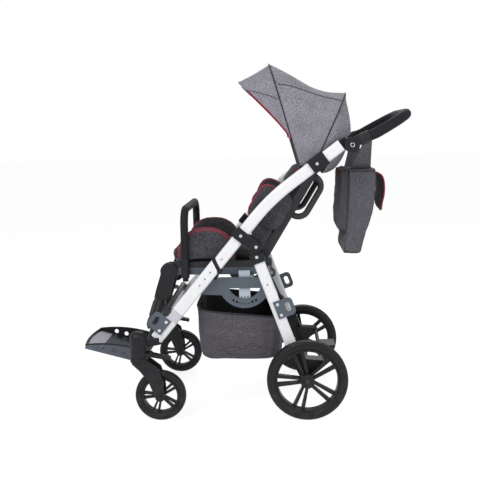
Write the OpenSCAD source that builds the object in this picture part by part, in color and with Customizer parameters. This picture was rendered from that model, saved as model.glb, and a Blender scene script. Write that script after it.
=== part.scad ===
// Folding special needs buggy: tilting seat unit on a four-bar folding frame with swivel casters.
// X points forwards, Y to the rider's left, Z up; the origin is under the middle of the whole buggy.

/* [Wheels] */
// Outer diameter of the rear tyres
rear_wheel_d = 285; // [275:1:295]
// Outer diameter of the front tyres
front_wheel_d = 180; // [172:1:188]
// Distance from the rear axle to the front axles
wheelbase = 519; // [510:1:530]
// Distance between the middle planes of the left and right wheels
wheel_track = 560; // [552:1:576]
// Width of a rear tyre
rear_tyre_w = 40; // [36:1:44]
// Width of a front tyre
front_tyre_w = 34; // [30:1:38]
// Distance from a caster's swivel axis back to its axle
caster_trail = 74; // [68:1:80]

/* [Side frame] */
// Distance between the middle planes of the side tubes
frame_w = 464; // [458:1:468]
// Thickness of the side tubes across the frame
tube_t = 24; // [20:1:26]
// Depth of the front tubes in side view
front_tube_h = 46; // [42:1:50]
// Depth of the push tubes in side view
push_tube_h = 42; // [38:1:46]
// Depth of the rear legs in side view
rear_tube_h = 40; // [36:1:44]
// Slope of the front tubes in degrees
front_slope = 50.2; // [49:0.1:52]
// Slope of the upper push tubes in degrees
push_slope = 36.5; // [34:0.1:39]
// Slope of the rear legs in degrees
rear_slope = 70; // [69:0.1:71]
// Fold hinge, forwards of the rear axle
fold_x = 303; // [298:1:308]
// Fold hinge, height above the floor
fold_z = 525; // [520:1:530]
// Rear leg pivot, forwards of the rear axle
leg_pivot_x = 173; // [170:1:176]
// Rear leg pivot, height above the floor
leg_pivot_z = 611; // [606:1:616]
// Length of the front tubes below the fold hinge
front_tube_l = 335; // [325:1:345]
// Distance from the fold hinge to the bend of the push tubes
push_straight_l = 309; // [300:1:318]
// Length of the push tubes above the bend
push_upper_l = 304; // [290:1:318]

/* [Seat unit] */
// Tilt pivot, forwards of the rear axle
tilt_x = 218; // [214:1:222]
// Tilt pivot, height above the floor
tilt_z = 480; // [476:1:484]
// Height of the seat rails' upper edge
rail_top_z = 551; // [547:1:555]
// Depth of the seat rails
rail_h = 47; // [43:1:47]
// Rear end of the seat rails
rail_back_x = 146; // [142:1:150]
// Front end of the seat rails
rail_front_x = 500; // [490:1:506]
// Recline of the backrest from upright in degrees
back_recline = 31; // [28:0.5:33]
// Length of the backrest bars above their pivot
back_l = 372; // [350:1:380]
// Width of the seat and back cushions
cushion_w = 306; // [290:1:308]
// Thickness of the seat cushion
seat_cushion_t = 48; // [40:1:54]
// Thickness of the back cushion
back_cushion_t = 52; // [44:1:58]
// Height of the bumper bar's top
bumper_top_z = 752; // [735:1:765]

/* [Leg rest] */
// Slope of the leg bars in degrees
leg_slope = 72; // [70.5:0.5:73]
// Length of the leg bars from knee to footplate
leg_l = 338; // [330:1:344]
// Slope of the footplate in degrees
foot_slope = 15; // [12:1:18]
// Length of the footplate
foot_l = 240; // [230:1:246]
// Width of the footplate
foot_w = 250; // [230:1:256]

/* [Handle and canopy] */
// Distance from the handle joint to the handle's cross bar
handle_l = 226; // [215:1:245]
// Slope of the handle arms in degrees
handle_slope = 22; // [18:1:26]
// Diameter of the foam grip
grip_d = 32; // [28:1:36]
// Length of the front canopy bow
front_bow_l = 380; // [372:1:392]
// Length of the rear canopy bow
rear_bow_l = 256; // [240:1:265]
// Half width of the canopy bows
bow_half_w = 204; // [198:1:207]
// Reach of the visor in front of the front bow
visor_l = 122; // [100:1:135]

/* [Soft goods] */
// Length of the basket's rim
basket_l = 320; // [300:1:326]
// Depth of the basket
basket_h = 176; // [150:1:180]
// Width of the bag
bag_w = 300; // [270:1:330]
// Height of the bag
bag_h = 300; // [280:1:310]

/* [Hidden] */

// Shared values: facets, running gap between bodies, running clearance of pins, overrun of cuts
fine = 64;
soft_n = 32;
gap = 0.3;
run = 0.05;
over = 1;
cut_size = 400;

// Tubes
tube_wall = 2.5;
tube_round = 9;
tube_hole_r = 2.75;
tube_in = frame_w / 2 - tube_t / 2;
tube_out = frame_w / 2 + tube_t / 2;
hole_first = 24;
hole_pitch = 30;
hole_count = 3;
cross_r = 11;
push_bend_r = 700;

// Layers from the side tubes inwards
plate_gap = 9;
plate_t = 6;
latch_gap = 3;
latch_t = 6;
latch_spacer = 12;
rail_t = 12;
back_gap = 2;
back_bar_t = 12;
plate_out = tube_in - plate_gap;
plate_in = plate_out - plate_t;
latch_out = plate_in - latch_gap;
latch_in = latch_out - latch_t;
rail_out = latch_in - latch_spacer;
rail_in = rail_out - rail_t;
back_out = rail_in - back_gap;
back_in = back_out - back_bar_t;

// Directions and main points of the side view, as [x, z]
function dir(a) = [cos(a), sin(a)];
function along(p, a, l) = p + l * dir(a);
function space(p, y) = [p[0], y, p[1]];
up_a = 180 - front_slope;
push_a = 180 - push_slope;
back_n = up_a + 90;
rear_a = rear_slope;
fold_pin = [fold_x, fold_z];
hinge_mid = along(fold_pin, back_n, -front_tube_h / 2);
front_end = along(hinge_mid, up_a, -front_tube_l);
push_mid = along(fold_pin, back_n, -push_tube_h / 2);
bend = along(push_mid, up_a, push_straight_l);
bend_a = up_a - push_a;
bend_tangent = push_bend_r * tan(abs(bend_a) / 2);
bend_centre = along(along(bend, up_a, -bend_tangent), back_n, push_bend_r);
push_end = along(bend, push_a, push_upper_l);
leg_pivot = [leg_pivot_x, leg_pivot_z];
leg_offset = 11;
leg_mid = along(leg_pivot, rear_a - 90, leg_offset);
rear_axle_p = [0, rear_wheel_d / 2];
front_axle_p = [wheelbase, front_wheel_d / 2];
swivel_x = wheelbase + caster_trail;
tilt_p = [tilt_x, tilt_z];

// Fold links: the quadrant plate turns on the front tube and rides on a stud of the rear leg
link_pin_r = 5;
link_x = 375;
link_z = 452;
link_p = [link_x, link_z];
link_boss_r = 9;
stud_r = 4;
stud_x = 128;
stud_z = 437;
stud_p = [stud_x, stud_z];
stud_play = 7;

// Fold hinge
hinge_cut_a = 65;
hinge_t = 7;
hinge_l = 51;
knuckle_r = 9;
knuckle_w = 10;
knuckle_play = 0.5;
hinge_pin_r = 4;

// Sleeve bracket and rear leg socket
sleeve_l = 40;
sleeve_wall = 5;
sleeve_s = 146;
cheek_r = 19;
cheek_t = 5.7;
leg_pin_r = 6;
tongue_r = 17;
socket_start = 23;
socket_l = 34;
socket_wall = 4;
leg_top = 40;
leg_cut_z = 246;

// Quadrant plate
plate_r = 94;
plate_top = 18;
arm_reach = 87;
arm_r = 16;
lobe_r = 19;
slot_r = 60;
slot_top = 22;
index_r = 77;
index_hole_r = 4.4;
index_step = 10.5;
index_side = 3;
tilt_pin_r = 5;
lobe_back = 66;
arm_root = 70;
base_tube_front = [117, -8];
base_tube_back = [-78, -16];

// Tie-down loops
tie_l = 64;
tie_in = 25;
tie_out = 42;
tie_t = 5;
tie_round = 16;
tie_slot_l = 34;
tie_slot_w = 17;
tie_slot_off = 20;
tie_bolt_r = 3.2;
tie_bolt_gap = 40;
tie_bolt_in = 12;
front_tie_s = 281;
front_cross_s = 232;
saddle_lap = 3;
rear_tie_s = 237;
bolt_head_r = 5.5;
bolt_head_t = 3;

// Casters
housing_r = 31;
housing_low_z = 230;
housing_h = 91;
housing_dome = 22;
stem_r = 8;
stem_h = 70;
fork_gap = 3;
fork_t = 8;
fork_crown_h = 16;
crown_gap = 1;
fork_eye_r = 17;
axle_r = 5;
wheel_play = 0.4;
bracket_r = 16;
bracket_h = 26;
bracket_z = 262;
lock_l = 72;
lock_w = 26;
lock_t = 13;
lock_tip_t = 11;
lock_drop = 15;
lock_pin_r = 3.5;
lock_ear_r = 8;
lock_back = 2;
lug_t = 6;

// Wheels
rear_rim_r = 112;
front_rim_r = 66;
rim_t = 7;
rear_hub_r = 25;
front_hub_r = 17;
rear_axle_r = 6;
spoke_w = 9;
front_spoke_w = 6;
spoke_t_share = 0.42;
rim_w_share = 0.7;
hub_w_share = 1.1;
tyre_round_share = 0.44;
groove_w = 2;
groove_d = 1.5;
groove_off_share = 0.16;
rear_spoke_n = 5;
front_spoke_n = 5;
pair_half_angle = 22;
pair_foot_angle = 17;

// Rear axle and brake
axle_tube_r = 12;
axle_bracket_w = 34;
axle_boss_r = 24;
axle_bracket_top = 262;
brake_x = -52;
brake_z = 196;
brake_pin_r = 4;
brake_half_w = 196;
brake_bar_r = 7;
brake_arm_l = 62;
brake_pedal_l = 90;
brake_pedal_w = 34;
brake_pedal_t = 9;
brake_ear_t = 6;

// Seat parts
board_t = 9;
board_back = 18;
seat_bar_r = 10;
seat_bar_s = 76;
seat_bar_in = 26;
latch_w = 40;
latch_low = 88;
latch_tab = 40;
latch_hole_r = 2.5;
latch_hole_step = 11;
latch_hole_low = 56;
back_pivot_x = 160;
back_pivot_z = 545;
back_pin_r = 5;
back_bar_h = 30;
knee_x = 489;
knee_z = 518;
knee_pin_r = 6;
knee_r = 31;
knee_t = 12;
bumper_x = 428;
bumper_y = 203;
bumper_r = 14;
bumper_post_r = 10.5;
bumper_bend_r = 58;
bumper_low_z = 484;
bumper_foam_z = 566;
bumper_socket_z = 497;
bumper_socket_r = 14.6;
bumper_lug_w = 22;
bolster_x = 354;
bolster_rx = 112;
bolster_h = 126;
bolster_t = 29;
bolster_in = 158;
seat_back_x = 176;
seat_front_x = 500;
wing_low = 112;
wing_l = 156;
wing_reach = 144;
wing_t = 26;
loop_s = 282;
loop_half = 78;
loop_reach = 52;
loop_bend = 36;
loop_r = 11;

// Leg rest and footplate
leg_bar_y = 150;
leg_bar_r = 11;
leg_cross_r = leg_bar_r;
cover_l = 84;
cover_r = 26;
cover_pin_r = 7;
leg_bar_top = 22;
foot_eye_r = 13;
foot_ear_t = 15;
leg_cross_s = 200;
pad_l = 200;
pad_w = 292;
pad_t = 18;
pad_start = 66;
foot_x = 607.3;
foot_z = 157;
foot_floor_t = 6;
foot_wall = 5;
foot_arc_r = 600;
foot_rim_r = 470;
foot_rim_h = 48;
foot_rim_x = 50;
foot_ear_l = 46;
foot_ear_half = 11;
foot_hinge_pin_r = 5;
foot_hole_r = 8.5;
foot_hole_step = 41;
foot_hole_x = 79;
foot_hole_z = 20;

// Handle
hub_r = 26;
hub_t = 14;
hub_in_gap = 6;
hub_neck_l = 48;
hub_neck_h = 29;
// Hub, bows, clamps and bag are placed from the top end of the push tube
hub_reach = 29.91;
hub_drop = 21.72;
hub_p = along(along(push_end, push_a, hub_reach), push_a + 90, hub_drop);
hub_x = hub_p[0];
hub_z = hub_p[1];
hub_pin_r = 6;
handle_rise = 5;
handle_kick_a = 7;
handle_kick_r = 60;
elbow_over_a = 1;
handle_end_l = 130;
handle_bend_r = 130;
bar_r = 11;
arm_socket_l = 84;
arm_socket_r = 17.5;
grip_start = 68;
button_r = 9;
button_t = 4;
button_depth = 10;
bar_start = 30;
button_travel = 3;
neck_gap = 5;

// Canopy
front_bow_back = 160.52;
front_bow_rise = 13.45;
front_bow_p = along(along(push_end, push_a, -front_bow_back), push_a - 90, front_bow_rise);
front_bow_a = 74;
rear_bow_back = 102.06;
rear_bow_rise = 5.03;
rear_bow_p = along(along(push_end, push_a, -rear_bow_back), push_a - 90, rear_bow_rise);
rear_bow_a = 115;
bow_r = 4;
bow_bend_r = 118;
fabric_t = 2.4;
fabric_gap = 0.6;
canopy_sag = 49;
canopy_lift = 2;
lift_n = 8;
visor_drop_a = 28;
visor_start = 118;
clamp_back = 97;
eye_r = 9;
eye_t = 10;
eye_pin_r = 4;
clamp_l = 62;
clamp_wall = 5;
drape_row_n = 4;
bend_n = 12;
canopy_row_n = 6;
drape_turn_a = 26.4;
drape_in = 21;
drape_short = 103;
drape_square = 70;
drape_foot = 80;
drape_power_share = 0.65;
gap_turn_a = 0.65;
bow_foot = 14;

// Basket and bag
basket_x = 238;
basket_top_z = 366;
basket_half_w = 206;
basket_wall = 4;
basket_sag = 14;
bag_back = 136;
bag_drop = 389;
bag_x = hub_x - bag_back;
bag_low_z = hub_z - bag_drop;
bag_depth = 184;
strap_s = 31;
strap_share = 0.5;
strap_in = 34;
strap_w = 36;
strap_t = 3;

// Middle of the whole length, so that the origin lies under it
foot_tip_x = foot_x + foot_l * cos(foot_slope);
handle_a = 180 - handle_slope;
handle_run = handle_l - handle_end_l - handle_kick_r * sin(handle_kick_a);
handle_kick_p = along(along(hub_p, handle_a, handle_l - handle_end_l), handle_a - 90,
  handle_rise + handle_kick_r * (1 - cos(handle_kick_a)));
handle_back_x = along(handle_kick_p, handle_a - handle_kick_a, handle_end_l)[0] - grip_d / 2;
mid_x = (foot_tip_x + handle_back_x) / 2;

// Small tools
module in_frame() { translate([-mid_x, 0, 0]) children(); }
module both() {
  children();
  mirror([0, 1, 0]) children();
}
module hand(side) { mirror([0, side == "left" ? 0 : 1, 0]) children(); }
module at(p, a = 0) { translate([p[0], 0, p[1]]) rotate([0, -a, 0]) children(); }
module at_y(y) { translate([0, y, 0]) children(); }
module pin(r, y0, y1) { translate([0, y1, 0]) rotate([90, 0, 0]) cylinder(r = r, h = y1 - y0, $fn = fine); }
module slab(y0, y1) { translate([0, y1, 0]) rotate([90, 0, 0]) linear_extrude(y1 - y0) children(); }
module round_rect(h, t, r) {
  square([h - 2 * r, t], center = true);
  square([h, t - 2 * r], center = true);
  for (i = [-1, 1], j = [-1, 1]) translate([i * (h / 2 - r), j * (t / 2 - r)]) circle(r, $fn = fine);
}
module stadium(l, w) {
  square([l - w, w], center = true);
  for (i = [-1, 1]) translate([i * (l - w) / 2, 0]) circle(w / 2, $fn = fine);
}
module bar(l, h, t, r) { rotate([0, 90, 0]) linear_extrude(l) round_rect(h, t, r); }
module arc_bar(rad, a, h, t, r) {
  rotate([90, 0, 0]) rotate_extrude(angle = a, $fn = fine) translate([rad, 0]) round_rect(h, t, r);
}
module box_bar(l, h, t) { translate([0, -t / 2, -h / 2]) cube([l, t, h]); }
module rod(r, l) { rotate([0, 90, 0]) cylinder(r = r, h = l, $fn = fine); }
// U-shaped bar in the local XY plane: two arms along X and a cross bar at x = l, solid or bored
module u_bar(half_w, l, bend_r, r, start = 0) {
  both() {
    translate([start, half_w, 0]) rod(r, l - bend_r - start);
    translate([l - bend_r, half_w - bend_r, 0]) rotate_extrude(angle = 90, $fn = fine)
      translate([bend_r, 0]) circle(r, $fn = fine);
  }
  translate([l, half_w - bend_r, 0]) rotate([90, 0, 0]) cylinder(r = r, h = 2 * (half_w - bend_r),
    $fn = fine);
}
// Closed solid through rings of points, each ring a list of 3D points of the same count
module loft(rings) {
  n = len(rings[0]);
  m = len(rings);
  mids = [for (k = [0, m - 1]) [for (c = [0 : 2]) mean([for (q = rings[k]) q[c]])]];
  points = concat([for (ring = rings) each ring], mids);
  sides = [for (k = [0 : m - 2], i = [0 : n - 1]) each let (j = (i + 1) % n, a = k * n, b = a + n)
    [[a + i, b + i, a + j], [a + j, b + i, b + j]]];
  caps = [for (i = [0 : n - 1]) each let (j = (i + 1) % n, t = (m - 1) * n)
    [[i, j, m * n], [t + j, t + i, m * n + 1]]];
  polyhedron(points, concat(sides, caps), convexity = 6);
}
function mean(v, i = 0, s = 0) = i == len(v) ? s / len(v) : mean(v, i + 1, s + v[i]);
function power(v, e) = sign(v) * pow(abs(v), e);
// Ring with rounded corners in the XY plane; a larger sharpness is squarer, draw pulls the sides in
function soft_ring(rx, ry, sharpness, draw, n) = [for (i = [0 : n - 1]) let (a = 360 * i / n)
  (1 - draw * pow(cos(2 * a), 2)) * [rx * power(cos(a), 2 / sharpness), ry * power(sin(a), 2 / sharpness)]];
function lift(ring, z, dx = 0) = [for (q = ring) [q[0] + dx, q[1], z]];
// Closed sheet between an outer and an inner grid of points
module sheet(inner, outer) {
  m = len(inner);
  n = len(inner[0]);
  points = concat([for (row = inner) each row], [for (row = outer) each row]);
  o = m * n;
  faces = [for (k = [0 : m - 2], i = [0 : n - 2]) each let (a = k * n + i, b = a + n)
    [[a, a + 1, b], [a + 1, b + 1, b], [o + a, o + b, o + a + 1], [o + a + 1, o + b, o + b + 1]]];
  ends = [for (i = [0 : n - 2]) each let (t = (m - 1) * n + i)
    [[i, o + i, i + 1], [i + 1, o + i, o + i + 1], [t, t + 1, o + t], [t + 1, o + t + 1, o + t]]];
  rims = [for (k = [0 : m - 2]) each let (a = k * n, b = a + n, c = a + n - 1, d = b + n - 1)
    [[a, b, o + a], [b, o + b, o + a], [c, o + c, d], [d, o + c, o + d]]];
  polyhedron(points, concat(faces, ends, rims), convexity = 8);
}

// Side tubes, grown by a margin where another piece is cut to take them
module front_tube_bar(grow = 0, wall = 0) {
  at_y(frame_w / 2) at(front_end, up_a)
    bar(front_tube_l + front_tube_h, front_tube_h + 2 * grow - 2 * wall, tube_t + 2 * grow - 2 * wall,
      tube_round - wall);
}
module push_tube_bar(grow = 0, wall = 0) {
  h = push_tube_h + 2 * grow - 2 * wall;
  t = tube_t + 2 * grow - 2 * wall;
  r = tube_round - wall;
  at_y(frame_w / 2) {
    at(along(push_mid, up_a, -push_tube_h), up_a) bar(push_straight_l - bend_tangent + push_tube_h, h, t,
      r);
    at(bend_centre, back_n - 180) arc_bar(push_bend_r, abs(bend_a), h, t, r);
    at(along(bend, push_a, bend_tangent), push_a) bar(push_upper_l - bend_tangent, h, t, r);
  }
}
module rear_tube_bar(grow = 0, wall = 0) {
  at_y(frame_w / 2) at(along(leg_mid, rear_a, -leg_top), rear_a + 180)
    bar((leg_pivot_z - leg_cut_z) / sin(rear_a) - leg_top, rear_tube_h + 2 * grow - 2 * wall,
      tube_t + 2 * grow - 2 * wall, tube_round - wall);
}
// Half spaces in front of and behind the fold hinge's parting plane
module behind_hinge(t) { at(fold_pin, hinge_cut_a) translate([-cut_size / 2, 0, t]) cube([cut_size,
  cut_size, cut_size]); }
module ahead_hinge(t) {
  at(fold_pin, hinge_cut_a) translate([-cut_size / 2, 0, -t - cut_size]) cube([cut_size, cut_size,
    cut_size]);
}
module bolt_head() { rotate([-90, 0, 0]) cylinder(r = bolt_head_r, h = bolt_head_t, $fn = fine); }

// Seat base
module quadrant_outline() {
  link = link_p - tilt_p;
  stud = stud_p - tilt_p;
  intersection() {
    circle(plate_r, $fn = fine);
    translate([-plate_r, -plate_r]) square([2 * plate_r, plate_r + plate_top]);
  }
  polygon([[0, plate_top], [arm_reach, plate_top], [link[0], link[1] + arm_r], [link[0], link[1] - arm_r],
    [arm_root, -plate_r / 2], [0, 0]]);
  translate(link) circle(arm_r, $fn = fine);
  polygon([[0, plate_top], [0, -plate_r / 2], [stud[0], stud[1] - lobe_r], [stud[0] - lobe_r, stud[1]],
    [-lobe_back, plate_top]]);
  translate(stud) circle(lobe_r, $fn = fine);
}
module quadrant_plates() in_frame() color("slategray") both() at(tilt_p) {
  slab(plate_in, plate_out) difference() {
    quadrant_outline();
    intersection() {
      circle(slot_r, $fn = fine);
      translate([-slot_r, -slot_r]) square([2 * slot_r, slot_r - slot_top]);
    }
    for (k = [-index_side : index_side]) rotate(k * index_step) translate([0, -index_r])
      circle(index_hole_r, $fn = fine);
    translate(link_p - tilt_p) circle(link_pin_r + run, $fn = fine);
    translate(stud_p - tilt_p) circle(stud_r + stud_play, $fn = fine);
  }
  pin(tilt_pin_r, latch_in + gap, plate_in);
}
module base_tubes() in_frame() color("slategray")
  for (p = [base_tube_front, base_tube_back]) at(tilt_p + p) pin(cross_r, -plate_in, plate_in);

// Basket: a soft tub with a sagging floor, open on top
function basket_ring(shrink, z, draw) = [for (q = soft_ring(basket_l / 2 - shrink,
  basket_half_w - shrink, 6, draw, soft_n))
  [q[0] + basket_x, q[1], z]];
basket_draw_share = 0.03;
basket_foot_share = 0.84;
basket_slant_share = 0.1;
function slant(ring) = [for (q = ring) [q[0], q[1], q[2] + basket_slant_share * (q[0] - basket_x)]];
module tub(shrink, floor_z, top_z) loft([
  [for (q = basket_ring(shrink, floor_z, basket_draw_share))
    [basket_x + (q[0] - basket_x) * basket_foot_share, q[1] * basket_foot_share, floor_z]],
  [for (q = basket_ring(shrink, floor_z + basket_sag, basket_draw_share))
    [basket_x + (q[0] - basket_x) * (1 + basket_foot_share) / 2, q[1] * (1 + basket_foot_share) / 2, q[2]]],
  basket_ring(shrink, (floor_z + top_z) / 2, basket_draw_share / 2),
  slant(basket_ring(shrink, top_z, 0))]);
// Hanger band from a point of the rim to just short of a base tube
module hanger(p, tube) {
  v = tube - p;
  l = norm(v) - cross_r - gap;
  at(p, atan2(v[1], v[0])) translate([0, 0, -hanger_t / 2]) cube([l, hanger_w, hanger_t]);
}
module basket() in_frame() color("dimgray") {
  difference() {
    tub(0, basket_top_z - basket_h, basket_top_z);
    tub(basket_wall, basket_top_z - basket_h + basket_wall, basket_top_z + over);
  }
  rise = basket_slant_share * basket_l / 2 - hanger_sink;
  both() at_y(hanger_y) {
    hanger([basket_x + basket_l / 2 - basket_wall / 2, basket_top_z + rise], tilt_p + base_tube_front);
    hanger([basket_x - basket_l / 2 + basket_wall / 2, basket_top_z - rise - 2 * hanger_sink],
      tilt_p + base_tube_back);
  }
}
hanger_y = 96;
hanger_w = 44;
hanger_t = 2.6;
hanger_sink = 6;

// Front legs
module front_holes() for (k = [0 : hole_count - 1])
  at(along(hinge_mid, up_a, -hole_first - k * hole_pitch)) pin(tube_hole_r, tube_in - over,
    tube_out + over);
module front_tubes() in_frame() color("white") both() {
  difference() {
    front_tube_bar();
    front_tube_bar(0, tube_wall);
    behind_hinge(-hinge_t);
    hinge_side(tube_in - over, tube_out + over);
    front_holes();
  }
  at(link_p) {
    pin(link_pin_r, plate_in - gap, tube_in + tube_wall);
    pin(link_boss_r, plate_out + gap, tube_in);
  }
}
// Fold hinge: the lower block carries the middle knuckle, the upper block two cheeks and the pin
module hinge_side(y0, y1) at(fold_pin) pin(knuckle_r + knuckle_play, y0, y1);
module front_hinge_blocks() in_frame() color("black") both() difference() {
  union() {
    difference() {
      at_y(frame_w / 2) at(fold_pin, hinge_cut_a) translate([0, -tube_t / 2, -hinge_t])
        cube([hinge_l, tube_t, hinge_t - gap / 2]);
      hinge_side(tube_in - over, frame_w / 2 - knuckle_w / 2);
      hinge_side(frame_w / 2 + knuckle_w / 2, tube_out + over);
    }
    at(fold_pin) pin(knuckle_r, frame_w / 2 - knuckle_w / 2, frame_w / 2 + knuckle_w / 2);
  }
  at(fold_pin) pin(hinge_pin_r + run, tube_in - over, tube_out + over);
}
front_cross_p = along(along(hinge_mid, up_a, -front_cross_s), back_n, -front_tube_h / 2 - cross_r - over);
module front_cross_tube() in_frame() color("white") difference() {
  union() {
    at(front_cross_p) pin(cross_r, -tube_out, tube_out);
    both() at_y(tube_in) at(front_cross_p, up_a) translate([-cross_r, 0, 0]) cube([2 * cross_r, tube_t,
      cross_r + over + saddle_lap]);
  }
  both() front_tube_bar();
}
module caster_housings() in_frame() color("black") both() difference() {
  union() {
    translate([swivel_x, wheel_track / 2, housing_low_z]) rotate_extrude($fn = fine) difference() {
      union() {
        square([housing_r, housing_h - housing_dome]);
        square([housing_r - housing_dome, housing_h]);
        translate([housing_r - housing_dome, housing_h - housing_dome]) circle(housing_dome, $fn = fine);
      }
      translate([-housing_r, -over]) square([housing_r, housing_h + 2 * over]);
    }
    hull() {
      translate([swivel_x, wheel_track / 2, bracket_z]) cylinder(r = bracket_r, h = bracket_h,
        $fn = soft_n);
      translate([front_end[0], frame_w / 2, bracket_z]) cylinder(r = bracket_r, h = bracket_h,
        $fn = soft_n);
    }
    for (y = [lock_y - lock_w / 2 - gap - lug_t, lock_y + lock_w / 2 + gap]) slab(y, y + lug_t) {
      translate(lock_p) circle(lock_ear_r, $fn = fine);
      translate([lock_p[0], housing_low_z]) square([housing_r, 2 * lock_ear_r]);
    }
  }
  front_tube_bar();
  translate([swivel_x, wheel_track / 2, housing_low_z - over]) cylinder(r = stem_r + run,
    h = stem_h + over + gap, $fn = fine);
  at(lock_p) pin(lock_pin_r + run, lock_y - over - lock_w, lock_y + lock_w + over);
}
lock_p = [swivel_x - housing_r - lock_ear_r - lock_back, housing_low_z + lock_ear_r];
lock_y = wheel_track / 2;
// Tie-down loop: a plate with rounded outer corners, a slot and two bolt holes; X along the tube, Z outwards
module tie_outline() difference() {
  union() {
    translate([-tie_l / 2, -tie_in]) square([tie_l, tie_in + tie_out - tie_round]);
    translate([-tie_l / 2 + tie_round, 0]) square([tie_l - 2 * tie_round, tie_out]);
    for (i = [-1, 1]) translate([i * (tie_l / 2 - tie_round), tie_out - tie_round]) circle(tie_round,
      $fn = fine);
  }
  translate([0, tie_slot_off]) stadium(tie_slot_l, tie_slot_w);
  for (i = [-1, 1]) translate([i * tie_bolt_gap / 2, -tie_bolt_in]) circle(tie_bolt_r, $fn = fine);
}
front_tie_p = along(along(hinge_mid, up_a, -front_tie_s), back_n, -front_tube_h / 2);
rear_tie_p = along(along(leg_mid, rear_a, -rear_tie_s), rear_a + 90, rear_tube_h / 2);
module front_tie_downs() in_frame() color("dimgray") both() at(front_tie_p, up_a + 180)
  slab(tube_out, tube_out + tie_t) tie_outline();
module tie_bolts(p, a) both() at(p, a) for (i = [-1, 1])
  translate([i * tie_bolt_gap / 2, tube_out + tie_t, -tie_bolt_in]) bolt_head();
module front_bolts() in_frame() color("silver") tie_bolts(front_tie_p, up_a + 180);
module swivel_lock(side) in_frame() hand(side) color("black") at_y(lock_y) at(lock_p) {
  pin(lock_ear_r, -lock_w / 2, lock_w / 2);
  pin(lock_pin_r, -lock_w / 2 - gap - lug_t, lock_w / 2 + gap + lug_t);
  slab(-lock_w / 2, lock_w / 2) polygon([[0, lock_t / 2], [-lock_l, lock_tip_t / 2 - lock_drop],
    [-lock_l, -lock_tip_t / 2 - lock_drop], [0, -lock_t / 2]]);
}
module swivel_lock_left() swivel_lock("left");
module swivel_lock_right() swivel_lock("right");

// Casters
fork_half = front_tyre_w / 2 + fork_gap;
crown_z = housing_low_z - crown_gap;
fork_shares = [[0, 0, -1], [0, 0.42, -0.75], [0.22, 0.72, -0.95], [0.72, 0.9, -1.25], [1, 1, -1.2],
  [1, 1, 1.2], [1, 0.86, 1.2], [0.62, 0.66, 1.15], [0.3, 0.4, 0.95], [0, 0, 1]];
module fork_leg() {
  axle = front_axle_p - [swivel_x, 0];
  slab(fork_half, fork_half + fork_t) {
    translate(axle) circle(fork_eye_r, $fn = fine);
    polygon([for (q = fork_shares) [mix(axle[0], 0, q[0]) + fork_eye_r * q[2], mix(axle[1], crown_z,
      q[1])]]);
  }
}
module caster_fork(side) in_frame() hand(side) color("black") translate([swivel_x, wheel_track / 2, 0]) {
  fork_leg();
  mirror([0, 1, 0]) fork_leg();
  translate([0, 0, crown_z - fork_crown_h]) cylinder(r = housing_r, h = fork_crown_h, $fn = fine);
  translate([0, 0, crown_z - over]) cylinder(r = stem_r, h = stem_h + over, $fn = fine);
  at(front_axle_p - [swivel_x, 0]) pin(axle_r, -fork_half - fork_t - bolt_head_t,
    fork_half + fork_t + bolt_head_t);
}
module caster_fork_left() caster_fork("left");
module caster_fork_right() caster_fork("right");

// Wheels about the Y axis
module tyre(d, w, rim_r) rotate([90, 0, 0]) rotate_extrude($fn = 2 * fine) difference() {
  h = d / 2 - rim_r;
  translate([rim_r + h / 2, 0]) round_rect(h, w, min(h, w) * tyre_round_share);
  for (i = [-1, 1]) translate([d / 2 - groove_d, i * w * groove_off_share - groove_w / 2])
    square([2 * groove_d, groove_w]);
}
// Two spokes that part from the hub and meet the rim further apart
module spoke_pair(hub, rim, w) for (i = [-1, 1]) {
  foot = hub * dir(i * pair_half_angle);
  head = rim * dir(i * pair_foot_angle / 2);
  side = w / 2 * dir(90);
  polygon([foot - side, head - 1.5 * side, head + 1.5 * side, foot + side]);
}
module rim(rim_r, w, hub, bore, pairs, spoke) rotate([90, 0, 0]) difference() {
  union() {
    rotate_extrude($fn = 2 * fine) translate([rim_r - rim_t, -w * rim_w_share / 2]) square([rim_t - run,
      w * rim_w_share]);
    cylinder(r = hub, h = w * hub_w_share, center = true, $fn = fine);
    linear_extrude(w * spoke_t_share, center = true) for (k = [0 : pairs - 1]) rotate(k * 360 / pairs)
      spoke_pair(hub - spoke, rim_r - rim_t / 2, spoke);
  }
  cylinder(r = bore + run, h = w * 2, center = true, $fn = fine);
}
module front_wheel_at(side) in_frame() hand(side) at(front_axle_p) at_y(wheel_track / 2) children();
module rear_wheel_at(side) in_frame() hand(side) at(rear_axle_p) at_y(wheel_track / 2) children();
module front_tyre_left() color("black") front_wheel_at("left") tyre(front_wheel_d, front_tyre_w,
  front_rim_r);
module front_tyre_right() color("black") front_wheel_at("right") tyre(front_wheel_d, front_tyre_w,
  front_rim_r);
module front_rim(side) color("black") front_wheel_at(side)
  rim(front_rim_r, front_tyre_w, front_hub_r, axle_r, front_spoke_n, front_spoke_w);
module front_rim_left() front_rim("left");
module front_rim_right() front_rim("right");
module rear_tyre_left() color("black") rear_wheel_at("left") tyre(rear_wheel_d, rear_tyre_w, rear_rim_r);
module rear_tyre_right() color("black") rear_wheel_at("right") tyre(rear_wheel_d, rear_tyre_w, rear_rim_r);
module rear_rim(side) color("black") rear_wheel_at(side)
  rim(rear_rim_r, rear_tyre_w, rear_hub_r, rear_axle_r, rear_spoke_n, spoke_w);
module rear_rim_left() rear_rim("left");
module rear_rim_right() rear_rim("right");

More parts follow.
